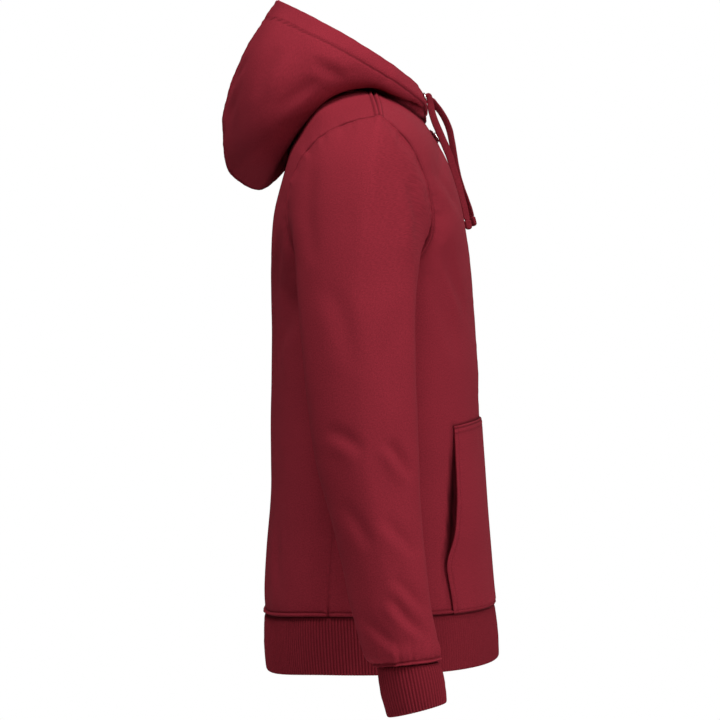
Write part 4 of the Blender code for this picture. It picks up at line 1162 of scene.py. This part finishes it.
frontFolds = {
    "right": [
        ([(0.1750, -0.1850), (0.1500, -0.2200), (0.1150, -0.2600)], 0.0022, 0.0120, 0.6),
        ([(0.1850, -0.2150), (0.1650, -0.2600), (0.1450, -0.3200)], 0.0018, 0.0120, 0.6),
        ([(0.1650, -0.0950), (0.1200, -0.1250), (0.0800, -0.1400)], 0.0014, 0.0130, 0.5),
        ([(0.1500, -0.5900), (0.1450, -0.5700), (0.1350, -0.5400)], 0.0010, 0.0090, 0.5),
    ],
    "left": [
        ([(0.1780, -0.1800), (0.1480, -0.2150), (0.1080, -0.2500)], 0.0020, 0.0120, 0.6),
        ([(0.1820, -0.2200), (0.1600, -0.2700), (0.1500, -0.3300)], 0.0020, 0.0120, 0.6),
        ([(0.1600, -0.1000), (0.1150, -0.1280), (0.0750, -0.1480)], 0.0014, 0.0130, 0.5),
    ],
}
backFolds = {
    "right": [
        ([(0.1750, -0.1700), (0.1400, -0.2050), (0.0900, -0.2300)], 0.0022, 0.0130, 0.6),
        ([(0.1850, -0.2100), (0.1500, -0.2650), (0.1050, -0.3100)], 0.0020, 0.0140, 0.6),
        ([(0.1500, -0.5900), (0.1300, -0.5500), (0.1200, -0.5000)], 0.0016, 0.0130, 0.6),
        ([(0.0700, -0.5950), (0.0600, -0.5600), (0.0650, -0.5200)], 0.0012, 0.0120, 0.6),
    ],
    "left": [
        ([(0.1720, -0.1800), (0.1350, -0.2200), (0.0850, -0.2400)], 0.0022, 0.0130, 0.6),
        ([(0.1830, -0.2200), (0.1450, -0.2800), (0.1000, -0.3300)], 0.0020, 0.0140, 0.6),
        ([(0.1350, -0.5920), (0.1200, -0.5550), (0.1100, -0.5100)], 0.0016, 0.0130, 0.6),
    ],
}


def stitchLines(side, sign, grid, normals, lines):
    # border, distance from it, first and last row or column
    for line in lines:
        points, facing = borderRun(grid, normals, *line)
        runs[side].append((onSide(points, sign), onSide(facing, sign)))


def clothPiece(node, sign, grid, wall, paintedShade, wrap=False):
    piece = sheetMesh(f"{node}_cloth", onSide(grid, sign), wrap=wrap, flip=sign < 0, paintedShade=paintedShade)
    thicken(piece, wall)
    finishPiece(piece, fleece, [node])


runs = {"right": [], "left": []}
facings = {
    "front": normalsOf(front),
    "back": -normalsOf(back),
    "sleeve": normalsOf(sleeveCloth, wrap=True),
    "hood": normalsOf(hoodCloth),
}
shareNormals([
    (front, facings["front"], ("low", "high", "side", "centre")),
    (back, facings["back"], ("low", "high", "side", "centre")),
    (sleeveCloth, facings["sleeve"], ("high",)),
    (hoodCloth, facings["hood"], ("low", "side")),
])
for flat in (facings["back"][: backNeck + 1, 0], facings["hood"][:, -1]):
    flat[:, 0] = 0
    flat[...] = unit(flat)

necklines = {"front": front[frontNeck:, 0], "back": back[backNeck:, 0]}
armLines = {"front": front[frontPit:, -1], "back": back[backPit:, -1]}
sideSeams = {"front": front[: frontPit + 1, -1], "back": back[: backPit + 1, -1]}


def panelFields(grid, name):
    # the lines that the relief of a front or back panel follows
    lines = {"hem": grid[0], "shoulder": grid[-1]}
    lines |= {"arm": armLines[name], "neck": necklines[name], "sides": sideSeams[name]}
    if name == "front":
        lines["zip"] = grid[: frontNeck + 1, 0]
    fields = {key: lineField(grid, [line]) for key, line in lines.items()}
    fields["nearest"] = np.min([field[0] for field in fields.values()], axis=0)
    flat = np.min([fields[key][0] for key in lines if key in ("sides", "zip")], axis=0)
    others = np.min([fields[key][0] for key in lines if key not in ("sides", "zip")], axis=0)
    fields["share"] = np.where(flat < others, 0.3 + 0.7 * ease(1 - others / 0.02), 1.0)
    return fields


def panelPaintedShade(fields):
    # painted shade along the armhole, shoulder, hem and side seams and their topstitches, and a wide painted
    # shadow along the neckline under the hood's roll
    arm, shoulder, neck, hem, sides = (fields[key][0] for key in ("arm", "shoulder", "neck", "hem", "sides"))
    lines = [
        (arm, 0.0017, 1.0), (arm - topstitch["arm"], 0.0010, 0.55),
        (shoulder, 0.0011, 0.70), (shoulder - topstitch["shoulder"], 0.0010, 0.45),
        (hem, 0.0020, 1.0), (hem - topstitch["hem"], 0.0010, 0.35),
        (neck, 0.0050, 0.90), (sides, 0.0008, 0.15),
    ]
    if "zip" in fields:
        lines += [(fields["zip"][0], 0.0012, 0.50), (fields["zip"][0] - topstitch["zip"], 0.0010, 0.35)]
        # painted shadow inside the pocket's mouth, stronger where it stands open, and painted shade along the
        # pocket's top
        lines.append((np.maximum(fields["mouth"][0] - 0.0040, 0), 0.0020, fields["gape"]))
        lines.append((fields["pocketTop"][0], 0.0014, 0.70))
    return paintedShadeAlong(*lines)


def panelRelief(grid, normals, fields, view, folds, seed):
    height = sum(stitchGroove(fields[name][0], topstitch[name]) for name in ("arm", "shoulder", "neck"))
    height += piping(fields["hem"][0], body["hemRoll"]) + puckered("panel", fields, seed)
    height += foldRelief(grid, normals, view, folds)
    calm = 1
    if "zip" in fields:
        # the zip's tape keeps the cloth beside it flat
        height += stitchGroove(fields["zip"][0], topstitch["zip"])
        calm = 0.35 + 0.65 * ease(fields["zip"][0] / 0.06)
    height += calm * billowed("panel", grid, seed)
    return settled(fields["nearest"], height, fields["share"])


def sleeveRelief(grid, normals, fields, folds, seed):
    fullness, at, width = sleeve["aboveCuff"]
    height = piping(fields["cuff"][0], sleeve["cuffRoll"]) + fullness * bump(fields["cuff"][0] - at, width)
    height += puckered("sleeve", fields, seed) + foldRelief(grid, normals, "side", folds)
    return settled(fields["nearest"], height + billowed("sleeve", grid, seed))


# Outline of the pockets on the fronts
pocket = {
    # height, how far out the edge is, how far it stands open
    "outline": [
        (-0.6035, 0.1575, 0.0), (-0.5750, 0.1626, 0.0), (-0.5460, 0.1668, 0.0), (-0.5300, 0.1630, 0.003),
        (-0.5100, 0.1595, 0.006), (-0.4700, 0.1565, 0.006), (-0.4300, 0.1545, 0.003), (-0.3970, 0.1520, 0.0),
    ],
    "near": 0.157,
    "fullness": 0.0022,
    "gap": 0.0006,
    "low": 0.0004,
    "panelLength": 0.78,
    "halfWidth": 0.16,
    "rows": 84,
    "columns": 60,
    "topSeams": (0.0026, 0.0088),
    "hemSeam": 0.0046,
    "zipSeam": 0.0050,
    "mouthSeam": 0.0060,
    # how far in the relief fades out, how far the edge drops, and over what width
    "edge": (0.004, 0.0011, 0.0013),
}


def pocketGrid():
    table = np.array(pocket["outline"])
    top = knotShare(frontRows, body["pocketTop"])
    low = pocket["low"]
    lines = np.array(edgeLines[:8]) / pocket["panelLength"]
    shares = np.unique(np.concatenate([np.linspace(low, top, pocket["rows"]), top - lines, low + lines]))
    fine = arcGrid(smoothRows(frontRows, shares), np.linspace(0, 1, 500))
    heights = np.array([np.interp(pocket["near"], row[:, 0], row[:, 2]) for row in fine])
    across = stops([(1, pocket["columns"])], edgeLines[:9], pocket["halfWidth"])
    edge, gape = (np.interp(heights, table[:, 0], table[:, k]) for k in (1, 2))
    edge, gape = evened(edge, 4), evened(gape, 4)
    start = body["zipHalf"] + 0.0012
    grid = np.empty((len(shares), len(across), 3))
    for i, row in enumerate(fine):
        outs = start + across * (edge[i] - start)
        for k in range(3):
            grid[i, :, k] = np.interp(outs, row[:, 0], row[:, k])
    return grid, gape, across


pocketBase, pocketGape, pocketAcross = pocketGrid()
mouth = pocketBase[:, -1]
frontFields = panelFields(front, "front")
frontFields["mouth"] = lineField(front, [mouth])
frontFields["pocketTop"] = lineField(front, [pocketBase[-1]])
# how far the pocket stands open sets the strength of the painted shadow in its mouth
gaping = np.interp(frontFields["mouth"][1], pathLength(mouth), pocketGape) / pocketGape.max()
frontFields["gape"] = 0.25 + 0.75 * gaping
wall = body["wall"]
backFields = panelFields(back, "back")
sleeveLines = {
    "cuff": np.concatenate([sleeveCloth[0], sleeveCloth[0, :1]]),
    "arm": np.concatenate([sleeveCloth[-1], sleeveCloth[-1, :1]]),
    "under": sleeveCloth[:, backArmhole - 1],
}
sleeveFields = {name: lineField(sleeveCloth, [line]) for name, line in sleeveLines.items()}
sleeveFields["nearest"] = np.min([field[0] for field in sleeveFields.values()], axis=0)
print("seams measured")

for side, sign in bothSides:
    facing = facings["front"]
    height = panelRelief(front, facing, frontFields, "front", frontFolds[side], seeds["front"][side])
    outer = front + facing * height[..., None]
    borders = ("low", "high", "side", "centre")
    paintedShade = padded(panelPaintedShade(frontFields), borders)
    clothPiece(f"front_{side}", sign, turnedIn(outer, facing, borders), wall, paintedShade)
    stitchLines(side, sign, outer, normalsOf(outer), (
        ("centre", topstitch["zip"], 0, frontNeck), ("centre", topstitch["neck"], frontNeck),
        ("side", topstitch["arm"], frontPit), ("high", topstitch["shoulder"]), ("low", threads["aboveHem"]),
    ))

    facing = facings["sleeve"]
    height = sleeveRelief(sleeveCloth, facing, sleeveFields, sleeveFolds[side], seeds["sleeve"][side])
    outer = sleeveCloth + facing * height[..., None]
    arm, cuff, under = (sleeveFields[name][0] for name in ("arm", "cuff", "under"))
    # painted shade along the armhole and underarm seams, the cuff seam and its topstitch
    paintedShade = paintedShadeAlong(
        (arm, 0.0017, 1.0), (under, 0.0008, 0.15),
        (cuff, 0.0020, 1.0), (cuff - topstitch["hem"], 0.0010, 0.35),
    )
    borders = ("low", "high")
    grid, paintedShade = turnedIn(outer, facing, borders), padded(paintedShade, borders)
    clothPiece(f"sleeve_{side}", sign, grid, wall, paintedShade, wrap=True)
print("fronts and sleeves made")

# The back's halves are one cloth below the neck, and part at the neckline
facing = facings["back"]
evenHeight = panelRelief(back, facing, backFields, "back", [], seeds["back"]["left"])
middle = bump(borderDistance(back, "centre"), 0.05) * (np.arange(len(back)) <= backNeck)[:, None]
halves = []
for side, sign in bothSides:
    height = panelRelief(back, facing, backFields, "back", backFolds[side], seeds["back"][side])
    height = height * (1 - middle) + evenHeight * middle
    outer = back + facing * height[..., None]
    outer[: backNeck + 1, 0, 0] = 0
    borders = ("low", "high", "side", "centre")
    grid, paintedShade = turnedIn(outer, facing, borders), padded(panelPaintedShade(backFields), borders)
    turned = len(seam["allowance"])
    kept = np.ones((grid.shape[0] - 1, grid.shape[1] - 1), bool)
    kept[: backNeck + turned, :turned] = False
    halves.append(sheetMesh(f"backHalf_{side}", onSide(grid, sign), flip=sign > 0, kept=kept, paintedShade=paintedShade))
    stitchLines(side, sign, outer, -normalsOf(outer), (
        ("centre", topstitch["neck"], backNeck),
        ("side", topstitch["arm"], backPit), ("low", threads["aboveHem"]),
    ))
piece = joinPieces("back_cloth", halves)
weldPoints(piece)
thicken(piece, wall)
finishPiece(piece, fleece, ["back"])
print("back made")


# Hood: each half ends in a hem turned in along the face
hoodFields = {name: lineField(hoodCloth, [line]) for name, line in (
    ("neck", hoodCloth[0]), ("middle", hoodCloth[:, -1]), ("face", hoodCloth[-1]),
)}
hoodFields["nearest"] = np.minimum(hoodFields["neck"][0], hoodFields["middle"][0])


def hoodRelief(grid, normals, fields, seed):
    height = puckered("hood", fields, seed) + stitchGroove(fields["middle"][0], topstitch["middle"])
    fromFace, place = fields["face"]
    hemSize, hemMore, hemPeriod, hemReach = hood["hemPuckers"]
    edgeSize, edgePeriod, edgeAt, edgeReach = hood["edgePuckers"]
    # the hem's puckers grow towards the back
    hemSize = hemSize + hemMore * ease(2.5 * place / place.max() - 1.5)
    height += stitchGroove(fromFace, hood["hem"], 1.3)
    height += hemSize * wave(place, hemPeriod, seed + 20) * bump(fromFace - hood["hem"], hemReach)
    height += edgeSize * wave(place, edgePeriod, seed + 21) * bump(fromFace - edgeAt, edgeReach)
    height += foldRelief(grid, normals, "side", hood["sideCreases"])
    height += foldRelief(grid, normals, "back", hood["backCreases"])
    return settled(fields["nearest"], height + billowed("hood", grid, seed))


def turnedHem(outer, normals, depth, radius):
    # round the edge and back inside, following the outer surface
    distance = borderDistance(outer, "high")
    edge, up = outer[-1], normals[-1]
    ahead = unit(outer[-1] - outer[-2])
    turns, backs = (np.linspace(0, end, count)[1:] for end, count in zip((math.pi, depth), hood["hemSteps"]))
    rows = [edge - up * radius * (1 - math.cos(turn)) + ahead * radius * math.sin(turn) for turn in turns]
    for back in backs:
        ring = np.empty_like(edge)
        for j in range(outer.shape[1]):
            at = distance[::-1, j]
            point, lean = (pointsAt([back], at, line[::-1, j])[0] for line in (outer, normals))
            ring[j] = point - unit(lean) * 2 * radius
        rows.append(ring)
    return np.concatenate([outer, np.array(rows)])


for side, sign in bothSides:
    facing = facings["hood"]
    height = hoodRelief(hoodCloth, facing, hoodFields, seeds["hood"][side])
    outer = hoodCloth + facing * height[..., None]
    outer[:, -1, 0] = 0
    own = normalsOf(outer)
    own[:, -1, 0] = 0
    own[:, -1] = unit(own[:, -1])
    grid = turnedHem(outer, own, hood["hem"], hood["hemRadius"])
    rim = np.concatenate([facing, np.tile(facing[-1], (len(grid) - len(outer), 1, 1))])
    neck, middle, face = (hoodFields[name][0] for name in ("neck", "middle", "face"))
    # painted shade: a wide painted shadow along the neck seam under the hood's roll, and dark lines along the
    # middle seam, its topstitch and the face hem's stitch
    paintedShade = paintedShadeAlong(
        (neck, 0.0050, 0.90), (middle, 0.0011, 0.60),
        (middle - topstitch["middle"], 0.0010, 0.35), (face - hood["hem"], 0.0011, 0.60),
    )
    paintedShade = np.pad(paintedShade, ((0, len(grid) - len(outer)), (0, 0)))
    borders = ("low", "side")
    clothPiece(f"hood_{side}", sign, turnedIn(grid, rim, borders), hood["wall"], padded(paintedShade, borders))
    stitchLines(side, sign, outer, own, (("high", hood["hem"]), ("side", topstitch["middle"])))
print("hood made")


# Pockets laid on the fronts
pocketFields = {name: lineField(pocketBase, [borderLine(pocketBase, border)]) for name, border in (
    ("top", "high"), ("hem", "low"), ("zip", "centre"), ("mouth", "side"),
)}
pocketFields["nearest"] = np.min([field[0] for field in pocketFields.values()], axis=0)


def pocketRelief(fields, seed):
    height = stitchGroove(fields["mouth"][0], pocket["mouthSeam"], 0.9)
    for at, share in zip(pocket["topSeams"], (0.8, 0.9)):
        height += stitchGroove(fields["top"][0], at, share)
    height += stitchGroove(fields["hem"][0], pocket["hemSeam"])
    height += stitchGroove(fields["zip"][0], pocket["zipSeam"])
    height += puckered("pocket", fields, seed) + billowed("pocket", pocketBase, seed)
    # the edge is a folded one: it rounds off over its last two millimetres
    fade, drop, width = pocket["edge"]
    return height * ease(fields["nearest"] / fade) - drop * bump(fields["nearest"], width)


for side, sign in bothSides:
    facing = normalsOf(pocketBase)
    up = np.linspace(0, 1, len(pocketBase))[:, None]
    middle = 4 * up * (1 - up) * np.sin(math.pi * pocketAcross * 0.5)
    height = pocket["gap"] + wall + pocket["fullness"] * middle + pocketGape[:, None] * pocketAcross**4
    height = height + pocketRelief(pocketFields, seeds["pocket"][side])
    outer = pocketBase + facing * height[..., None]
    top, mouthEdge, zipEdge = (pocketFields[name][0] for name in ("top", "mouth", "zip"))
    # painted shade along the pocket's topstitches, its mouth and zip-side stitches, and its lower seam
    paintedShade = paintedShadeAlong(
        (top - pocket["topSeams"][0], 0.0010, 0.60), (top - pocket["topSeams"][1], 0.0010, 0.65),
        (mouthEdge - pocket["mouthSeam"], 0.0010, 0.12), (zipEdge - pocket["zipSeam"], 0.0010, 0.35),
        (pocketFields["hem"][0], 0.0020, 1.0),
    )
    clothPiece(f"pocket_{side}", sign, outer, wall, paintedShade)
    stitchLines(side, sign, outer, normalsOf(outer), (
        *(("high", distance) for distance in pocket["topSeams"]),
        ("low", pocket["hemSeam"]), ("centre", pocket["zipSeam"]), ("side", pocket["mouthSeam"]),
    ))
print("pockets made")


# Rib-knit hem band and cuffs: ribs on the outer face, turned in along the lower edge
rib = {
    "pitch": 0.0035,
    "height": 0.0010,
    # painted shade between the ribs, and painted shadow at the band's top under the body's roll
    "grooveShade": 0.55,
    "shadow": 0.85,
    "samples": 6,
    # shares of the depth down the outside, up the inside face, and in the hollow between the layers
    "downs": (0, 0.012, 0.03, 0.06, *np.linspace(0.1, 0.95, 9)),
    "ups": np.linspace(0.9, 0.0, 4),
    "hollow": (0.0, 0.45, 0.9),
    "wall": 0.0046,
    "layer": 0.0018,
    "ridgePower": 0.8,
    "groovePower": 1.5,
    # how far the top is drawn in, and the share of the depth it takes to come out again
    "tuck": (0.0013, 0.07),
    "swell": 0.0016,
    "waver": (0.0004, 0.05),
    "hemTop": (-0.6050, -0.1478, 0.1248, 0.1895, 0.048),
    "hemBottom": (-0.6665, -0.1536, 0.1232, 0.1870, 0.046),
    "drops": ((0.001, 0.011), (0.004, 0.0145)),
    "fade": (0.06, -0.10),
    "flatter": 0.6,
}


def spreadEvenly(points, count):
    length = pathLength(points)
    return pointsAt(np.linspace(0, length[-1], count), length, points)


def ribGrid(top, bottom, flatten, seed, closed):
    # rows run down the outside, round the lower edge, up the inside, and round the hollow between the layers
    middle = (top + bottom) / 2
    along = np.gradient(middle, axis=0)
    if closed:
        along = np.roll(middle, -1, axis=0) - np.roll(middle, 1, axis=0)
    out, down = unit(np.cross(along, top - bottom)), unit(bottom - top)
    depth = np.linalg.norm(bottom - top, axis=1)
    length = pathLength(middle)
    total = length[-1] + (np.linalg.norm(middle[0] - middle[-1]) if closed else 0)
    turn = 2 * math.pi * length * round(total / rib["pitch"]) / total
    ribs = rib["height"] * (0.5 + 0.5 * np.cos(turn)) ** rib["ridgePower"] * (1 - flatten)
    grooveShade = rib["grooveShade"] * (1 - ribs / rib["height"]) ** rib["groovePower"] * (1 - 0.85 * flatten)
    (tuck, tuckFade), (waver, period) = rib["tuck"], rib["waver"]
    rows, ribShade = [], []

    def level(share, lift):
        rows.append(top + down * (depth * share)[:, None] + out * np.reshape(lift, (-1, 1)))

    def fold(reach, turns, lifts):
        for turn in turns * math.pi:
            lift = reach * math.cos(turn) - rib["wall"] / 2 + lifts * max(math.cos(turn / 2), 0)
            drop = reach * math.sin(turn) - rib["wall"] * 0.3
            rows.append(bottom + down * drop + out * lift[:, None])

    for share in rib["downs"]:
        # painted shade between the ribs, and painted shadow along the band's top under the body's roll
        ribShade.append(np.maximum(grooveShade, rib["shadow"] * bump(share, 0.020)))
        fade = ease(share / tuckFade)
        swell = rib["swell"] * math.sin(math.pi * share) + waver * wave(length, period, seed + int(share * 7))
        level(share, -tuck * (1 - fade) + ribs * (0.25 + 0.75 * fade) + swell * fade)
    fold(rib["wall"] / 2, np.linspace(0.08, 1, 7), ribs)
    for share in rib["ups"]:
        level(share, -rib["wall"])
    for share in rib["hollow"]:
        level(share, rib["layer"] - rib["wall"])
    fold(rib["wall"] / 2 - rib["layer"], np.linspace(1, 0, 4), 0 * ribs)
    for share in rib["hollow"][::-1]:
        level(share, -rib["layer"])
    # the painted shade between the ribs fades out round the turned edge and inside
    ribShade += [grooveShade * (1 - ease(k / 8)) for k in range(len(rows) - len(ribShade))]
    return np.array(rows), np.array(ribShade)


def ribPiece(name, grid, ribShade, wrap, flip):
    # closed body: the inside's top row meets the outside's
    grid, ribShade = (np.concatenate([rows, rows[:1]]) for rows in (grid, ribShade))
    piece = sheetMesh(name, grid, wrap=wrap, flip=flip, paintedShade=ribShade)
    weldPoints(piece)
    if not wrap:
        shape = bmesh.new()
        shape.from_mesh(piece.data)
        bmesh.ops.holes_fill(shape, edges=[edge for edge in shape.edges if edge.is_boundary])
        shape.to_mesh(piece.data)
        shape.free()
    piece.data.shade_smooth()
    piece.data.set_sharp_from_angle(angle=math.radians(75))
    return piece


def bandCurve(ring, sideDrop, backDrop):
    frontArc, backArc = ringArcs(ring, sideDrop, backDrop)
    t = np.linspace(0, 1, 500)
    half = np.concatenate([arcGrid(np.array([frontArc]), t)[0], arcGrid(np.array([backArc]), t)[0][::-1][1:]])
    return np.concatenate([half, onSide(half, -1)[::-1][1:]])


def ribCurves(top, bottom):
    # both edges of a band, with the same count of points to each rib
    count = round(pathLength(bottom)[-1] / rib["pitch"]) * rib["samples"] + 1
    return spreadEvenly(top, count), spreadEvenly(bottom, count)


bands = zip((rib["hemTop"], rib["hemBottom"]), rib["drops"])
top, bottom = ribCurves(*(bandCurve(ring, *drops) for ring, drops in bands))
forward = (bottom[:, 1] - rib["fade"][0]) / (rib["fade"][1] - rib["fade"][0])
grid, ribShade = ribGrid(top, bottom, rib["flatter"] * ease(forward), seeds["hem"], False)
piece = ribPiece("hem_cloth", grid, ribShade, False, True)
finishPiece(piece, ribKnit, ["hem_band"])

turns = np.linspace(0, 2 * math.pi, 500)
cuffLoops = (sleeve["loops"][-1], sleeve["cuffBottom"])
cuffTop, cuffBottom = ribCurves(*(loopPoints(loop, turns) for loop in cuffLoops))
for side, sign in bothSides:
    grid, ribShade = ribGrid(cuffTop[:-1], cuffBottom[:-1], 0.0, seeds["cuff"][side], True)
    piece = ribPiece(f"cuff_{side}_cloth", onSide(grid, sign), ribShade, True, sign > 0)
    finishPiece(piece, ribKnit, [f"cuff_{side}"])
print("ribs made")


# Sewing
for side, found in runs.items():
    finishPiece(stitchMesh(f"stitches_{side}", found), threadCloth, [])
print("sewing made")


# Zip: woven tapes behind the front edges, moulded teeth between them, and folded tape ends at the top
closure = {
    "top": -0.0385,
    "sliderLow": -0.0545,
    "tapeOuts": (0.0010, 0.0018, 0.0032, 0.0060, 0.0095, 0.0125, 0.0140, 0.0148),
    "bead": (0.0007, 0.0004, 0, 0, 0, 0, 0.0002, 0.0003),
    "behind": 0.0029,
    "tapeWall": 0.0010,
    "lean": 0.104,
    "tooth": (0.0030, 0.0021, 0.0013),
    "toothEdge": 0.0004,
    "toothTaper": 0.25,
    "toothLow": 0.006,
    "toothOut": 0.0009,
    "pitch": 0.0027,
    "toothBehind": 0.0012,
    # nearest and furthest from the middle, height, puff
    "tab": (0.0052, 0.0117, 0.0130, 0.0012),
    "tabPoints": (22, 16),
    "tabWall": 0.0014,
    "tabLift": 0.0022,
    # rounded edge, then the stitch: depth, distance in, width
    "tabEdge": 0.0014,
    "tabStitch": (0.55, 0.0016, 0.0005),
    "stop": (0.0078, 0.0042, 0.0062),
    "stopEdge": 0.0009,
    "stopPlace": (0.0022, 0.0042),
}


def zipPath(low, high, step):
    ring = rib["hemBottom"]
    line = np.concatenate([[(body["zipHalf"], ring[1], ring[0])], front[: frontNeck + 1, 0]])
    heights = np.arange(low, high, step)
    return np.stack([np.interp(heights, line[:, 2], line[:, 1]), heights], 1)


def tapeMesh(side, sign):
    path = zipPath(rib["hemBottom"][0] + 0.0015, closure["top"], 0.004)
    outs = np.array(closure["tapeOuts"])
    grid = np.array([[(x, y + closure["lean"] * x, z) for x in outs] for y, z in path])
    facing = normalsOf(grid)
    grid = grid - facing * (closure["behind"] - np.array(closure["bead"]))[None, :, None]
    made = sheetMesh(f"zipTape_{side}", onSide(grid, sign), flip=sign < 0)
    thicken(made, closure["tapeWall"])
    return made


def roundedBlock(name, size, edge, segments=1):
    bpy.ops.object.select_all(action="DESELECT")
    bpy.ops.mesh.primitive_cube_add(size=1)
    made = bpy.context.object
    made.name = name
    made.scale = size
    bpy.ops.object.transform_apply(scale=True)
    edges = made.modifiers.new("edges", "BEVEL")
    edges.width, edges.segments = edge, segments
    applyModifiers(made)
    return made


def teethMesh():
    tooth = roundedBlock("tooth", closure["tooth"], closure["toothEdge"])
    count = len(tooth.data.vertices)
    shape = np.array([vertex.co for vertex in tooth.data.vertices])
    shape[:, 1] *= 1 - closure["toothTaper"] * np.abs(shape[:, 0]) / (closure["tooth"][0] / 2)
    faces = [list(polygon.vertices) for polygon in tooth.data.polygons]
    bpy.data.objects.remove(tooth)
    path = zipPath(rib["hemBottom"][0] + closure["toothLow"], closure["sliderLow"], closure["pitch"] / 2)
    slope = np.gradient(path[:, 0], path[:, 1])
    verts, quads = [], []
    for index, ((y, z), lean) in enumerate(zip(path, slope)):
        sign = 1 if index % 2 else -1
        turn = Matrix.Rotation(-math.atan(lean), 3, "X")
        place = np.array([sign * closure["toothOut"], y + closure["toothBehind"], z])
        quads += [[corner + index * count for corner in face] for face in faces]
        verts.append(shape @ np.array(turn).T + place)
    mesh = bpy.data.meshes.new("zipTeeth")
    mesh.from_pydata(np.concatenate(verts).tolist(), [], quads)
    return linked("zipTeeth", mesh)


def tabMesh(side, sign):
    near, far, height, puff = closure["tab"]
    downs, acrosses = (np.linspace(0, 1, count) for count in closure["tabPoints"])
    rows, columns = closure["top"] + height * (downs - 1), near + (far - near) * acrosses
    line = front[:, 0, 2]
    grid = np.empty((len(rows), len(columns), 3))
    for i, z in enumerate(rows):
        row = int(np.argmin(np.abs(line[: frontNeck + 1] - z)))
        for k in range(3):
            grid[i, :, k] = np.interp(columns, front[row, :, 0], front[row, :, k])
        grid[i, :, 2] += z - line[row]
    facing = normalsOf(grid)
    fromEnds = np.minimum(downs, 1 - downs) * height
    fromSides = np.minimum(acrosses, 1 - acrosses) * (far - near)
    edge = np.minimum(fromEnds[:, None], fromSides)
    depth, distance, width = closure["tabStitch"]
    rounded = np.sqrt(np.clip(edge / closure["tabEdge"], 0, 1)) - depth * bump(edge - distance, width)
    lift = closure["tabLift"] + puff * rounded
    made = sheetMesh(f"zipTab_{side}", onSide(grid + facing * lift[..., None], sign), flip=sign < 0)
    thicken(made, closure["tabWall"])
    return made


for side, sign in bothSides:
    finishPiece(tapeMesh(side, sign), tapeCloth, [f"zip_tape_{side}"])
    finishPiece(tabMesh(side, sign), tapeCloth, [f"zip_tab_{side}"])
finishPiece(teethMesh(), toothPlastic, ["zip_chain"])
ring, (behind, above) = rib["hemBottom"], closure["stopPlace"]
block = roundedBlock("zipStop", closure["stop"], closure["stopEdge"], 2)
block.location = (0, ring[1] + behind, ring[0] + above)
pick(block)
bpy.ops.object.transform_apply(location=True)
finishPiece(block, toothPlastic, [])
for name in ("zip_slider", "zip_pull", "eyelet_right", "eyelet_left"):
    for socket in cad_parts[name].material_slots:
        socket.material = nickel
print("zip made")


# Pale floor and soft studio light
def makeStage():
    bpy.ops.mesh.primitive_circle_add(
        vertices=96, radius=studio["floorRadius"], fill_type="NGON", location=(0, 0, studio["floorHeight"])
    )
    floor = bpy.context.object
    floor.name = "floor"
    floor.data.materials.append(newMaterial("paper", (0.9, 0.9, 0.9), 0.9)[0])
    floor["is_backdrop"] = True
    world = bpy.data.worlds.new("studio")
    bpy.context.scene.world = world
    world.use_nodes = True
    # the backdrop is plain white to look at, and lights the scene more softly
    tree = world.node_tree
    sky = next(n for n in tree.nodes if n.type == "BACKGROUND")
    sky.inputs["Color"].default_value = (*studio["backdrop"], 1)
    sky.inputs["Strength"].default_value = studio["fill"]
    seen = node(tree, "ShaderNodeBackground", [("Color", (*studio["backdrop"], 1)), ("Strength", 1.0)])
    straight = node(tree, "ShaderNodeLightPath", output="Is Camera Ray")
    both = node(tree, "ShaderNodeMixShader", [(0, straight), (1, Wire(tree, sky.outputs[0])), (2, seen)])
    ending = next(n for n in tree.nodes if n.type == "OUTPUT_WORLD")
    connect(tree, ending.inputs["Surface"], both)
    for name, place, aim, size, watts in studio["lamps"]:
        lamp = linked(name, bpy.data.lights.new(name, "AREA"))
        lamp.location = place
        lamp.rotation_euler = (Vector(aim) - Vector(place)).to_track_quat("-Z", "Y").to_euler()
        lamp.data.shape = "DISK"
        lamp.data.size = size
        lamp.data.energy = watts


makeStage()
bpy.context.scene.view_settings.view_transform = "Standard"
print("stage made")


def wholeBox():
    bpy.context.view_layer.update()
    low, high = np.full(3, 1e9), np.full(3, -1e9)
    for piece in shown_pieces():
        corners = np.array([piece.matrix_world @ Vector(corner) for corner in piece.bound_box])
        low, high = np.minimum(low, corners.min(0)), np.maximum(high, corners.max(0))
    return low.tolist(), high.tolist()


{"cad": [list(corner) for corner in cadBox], "visual": wholeBox()}
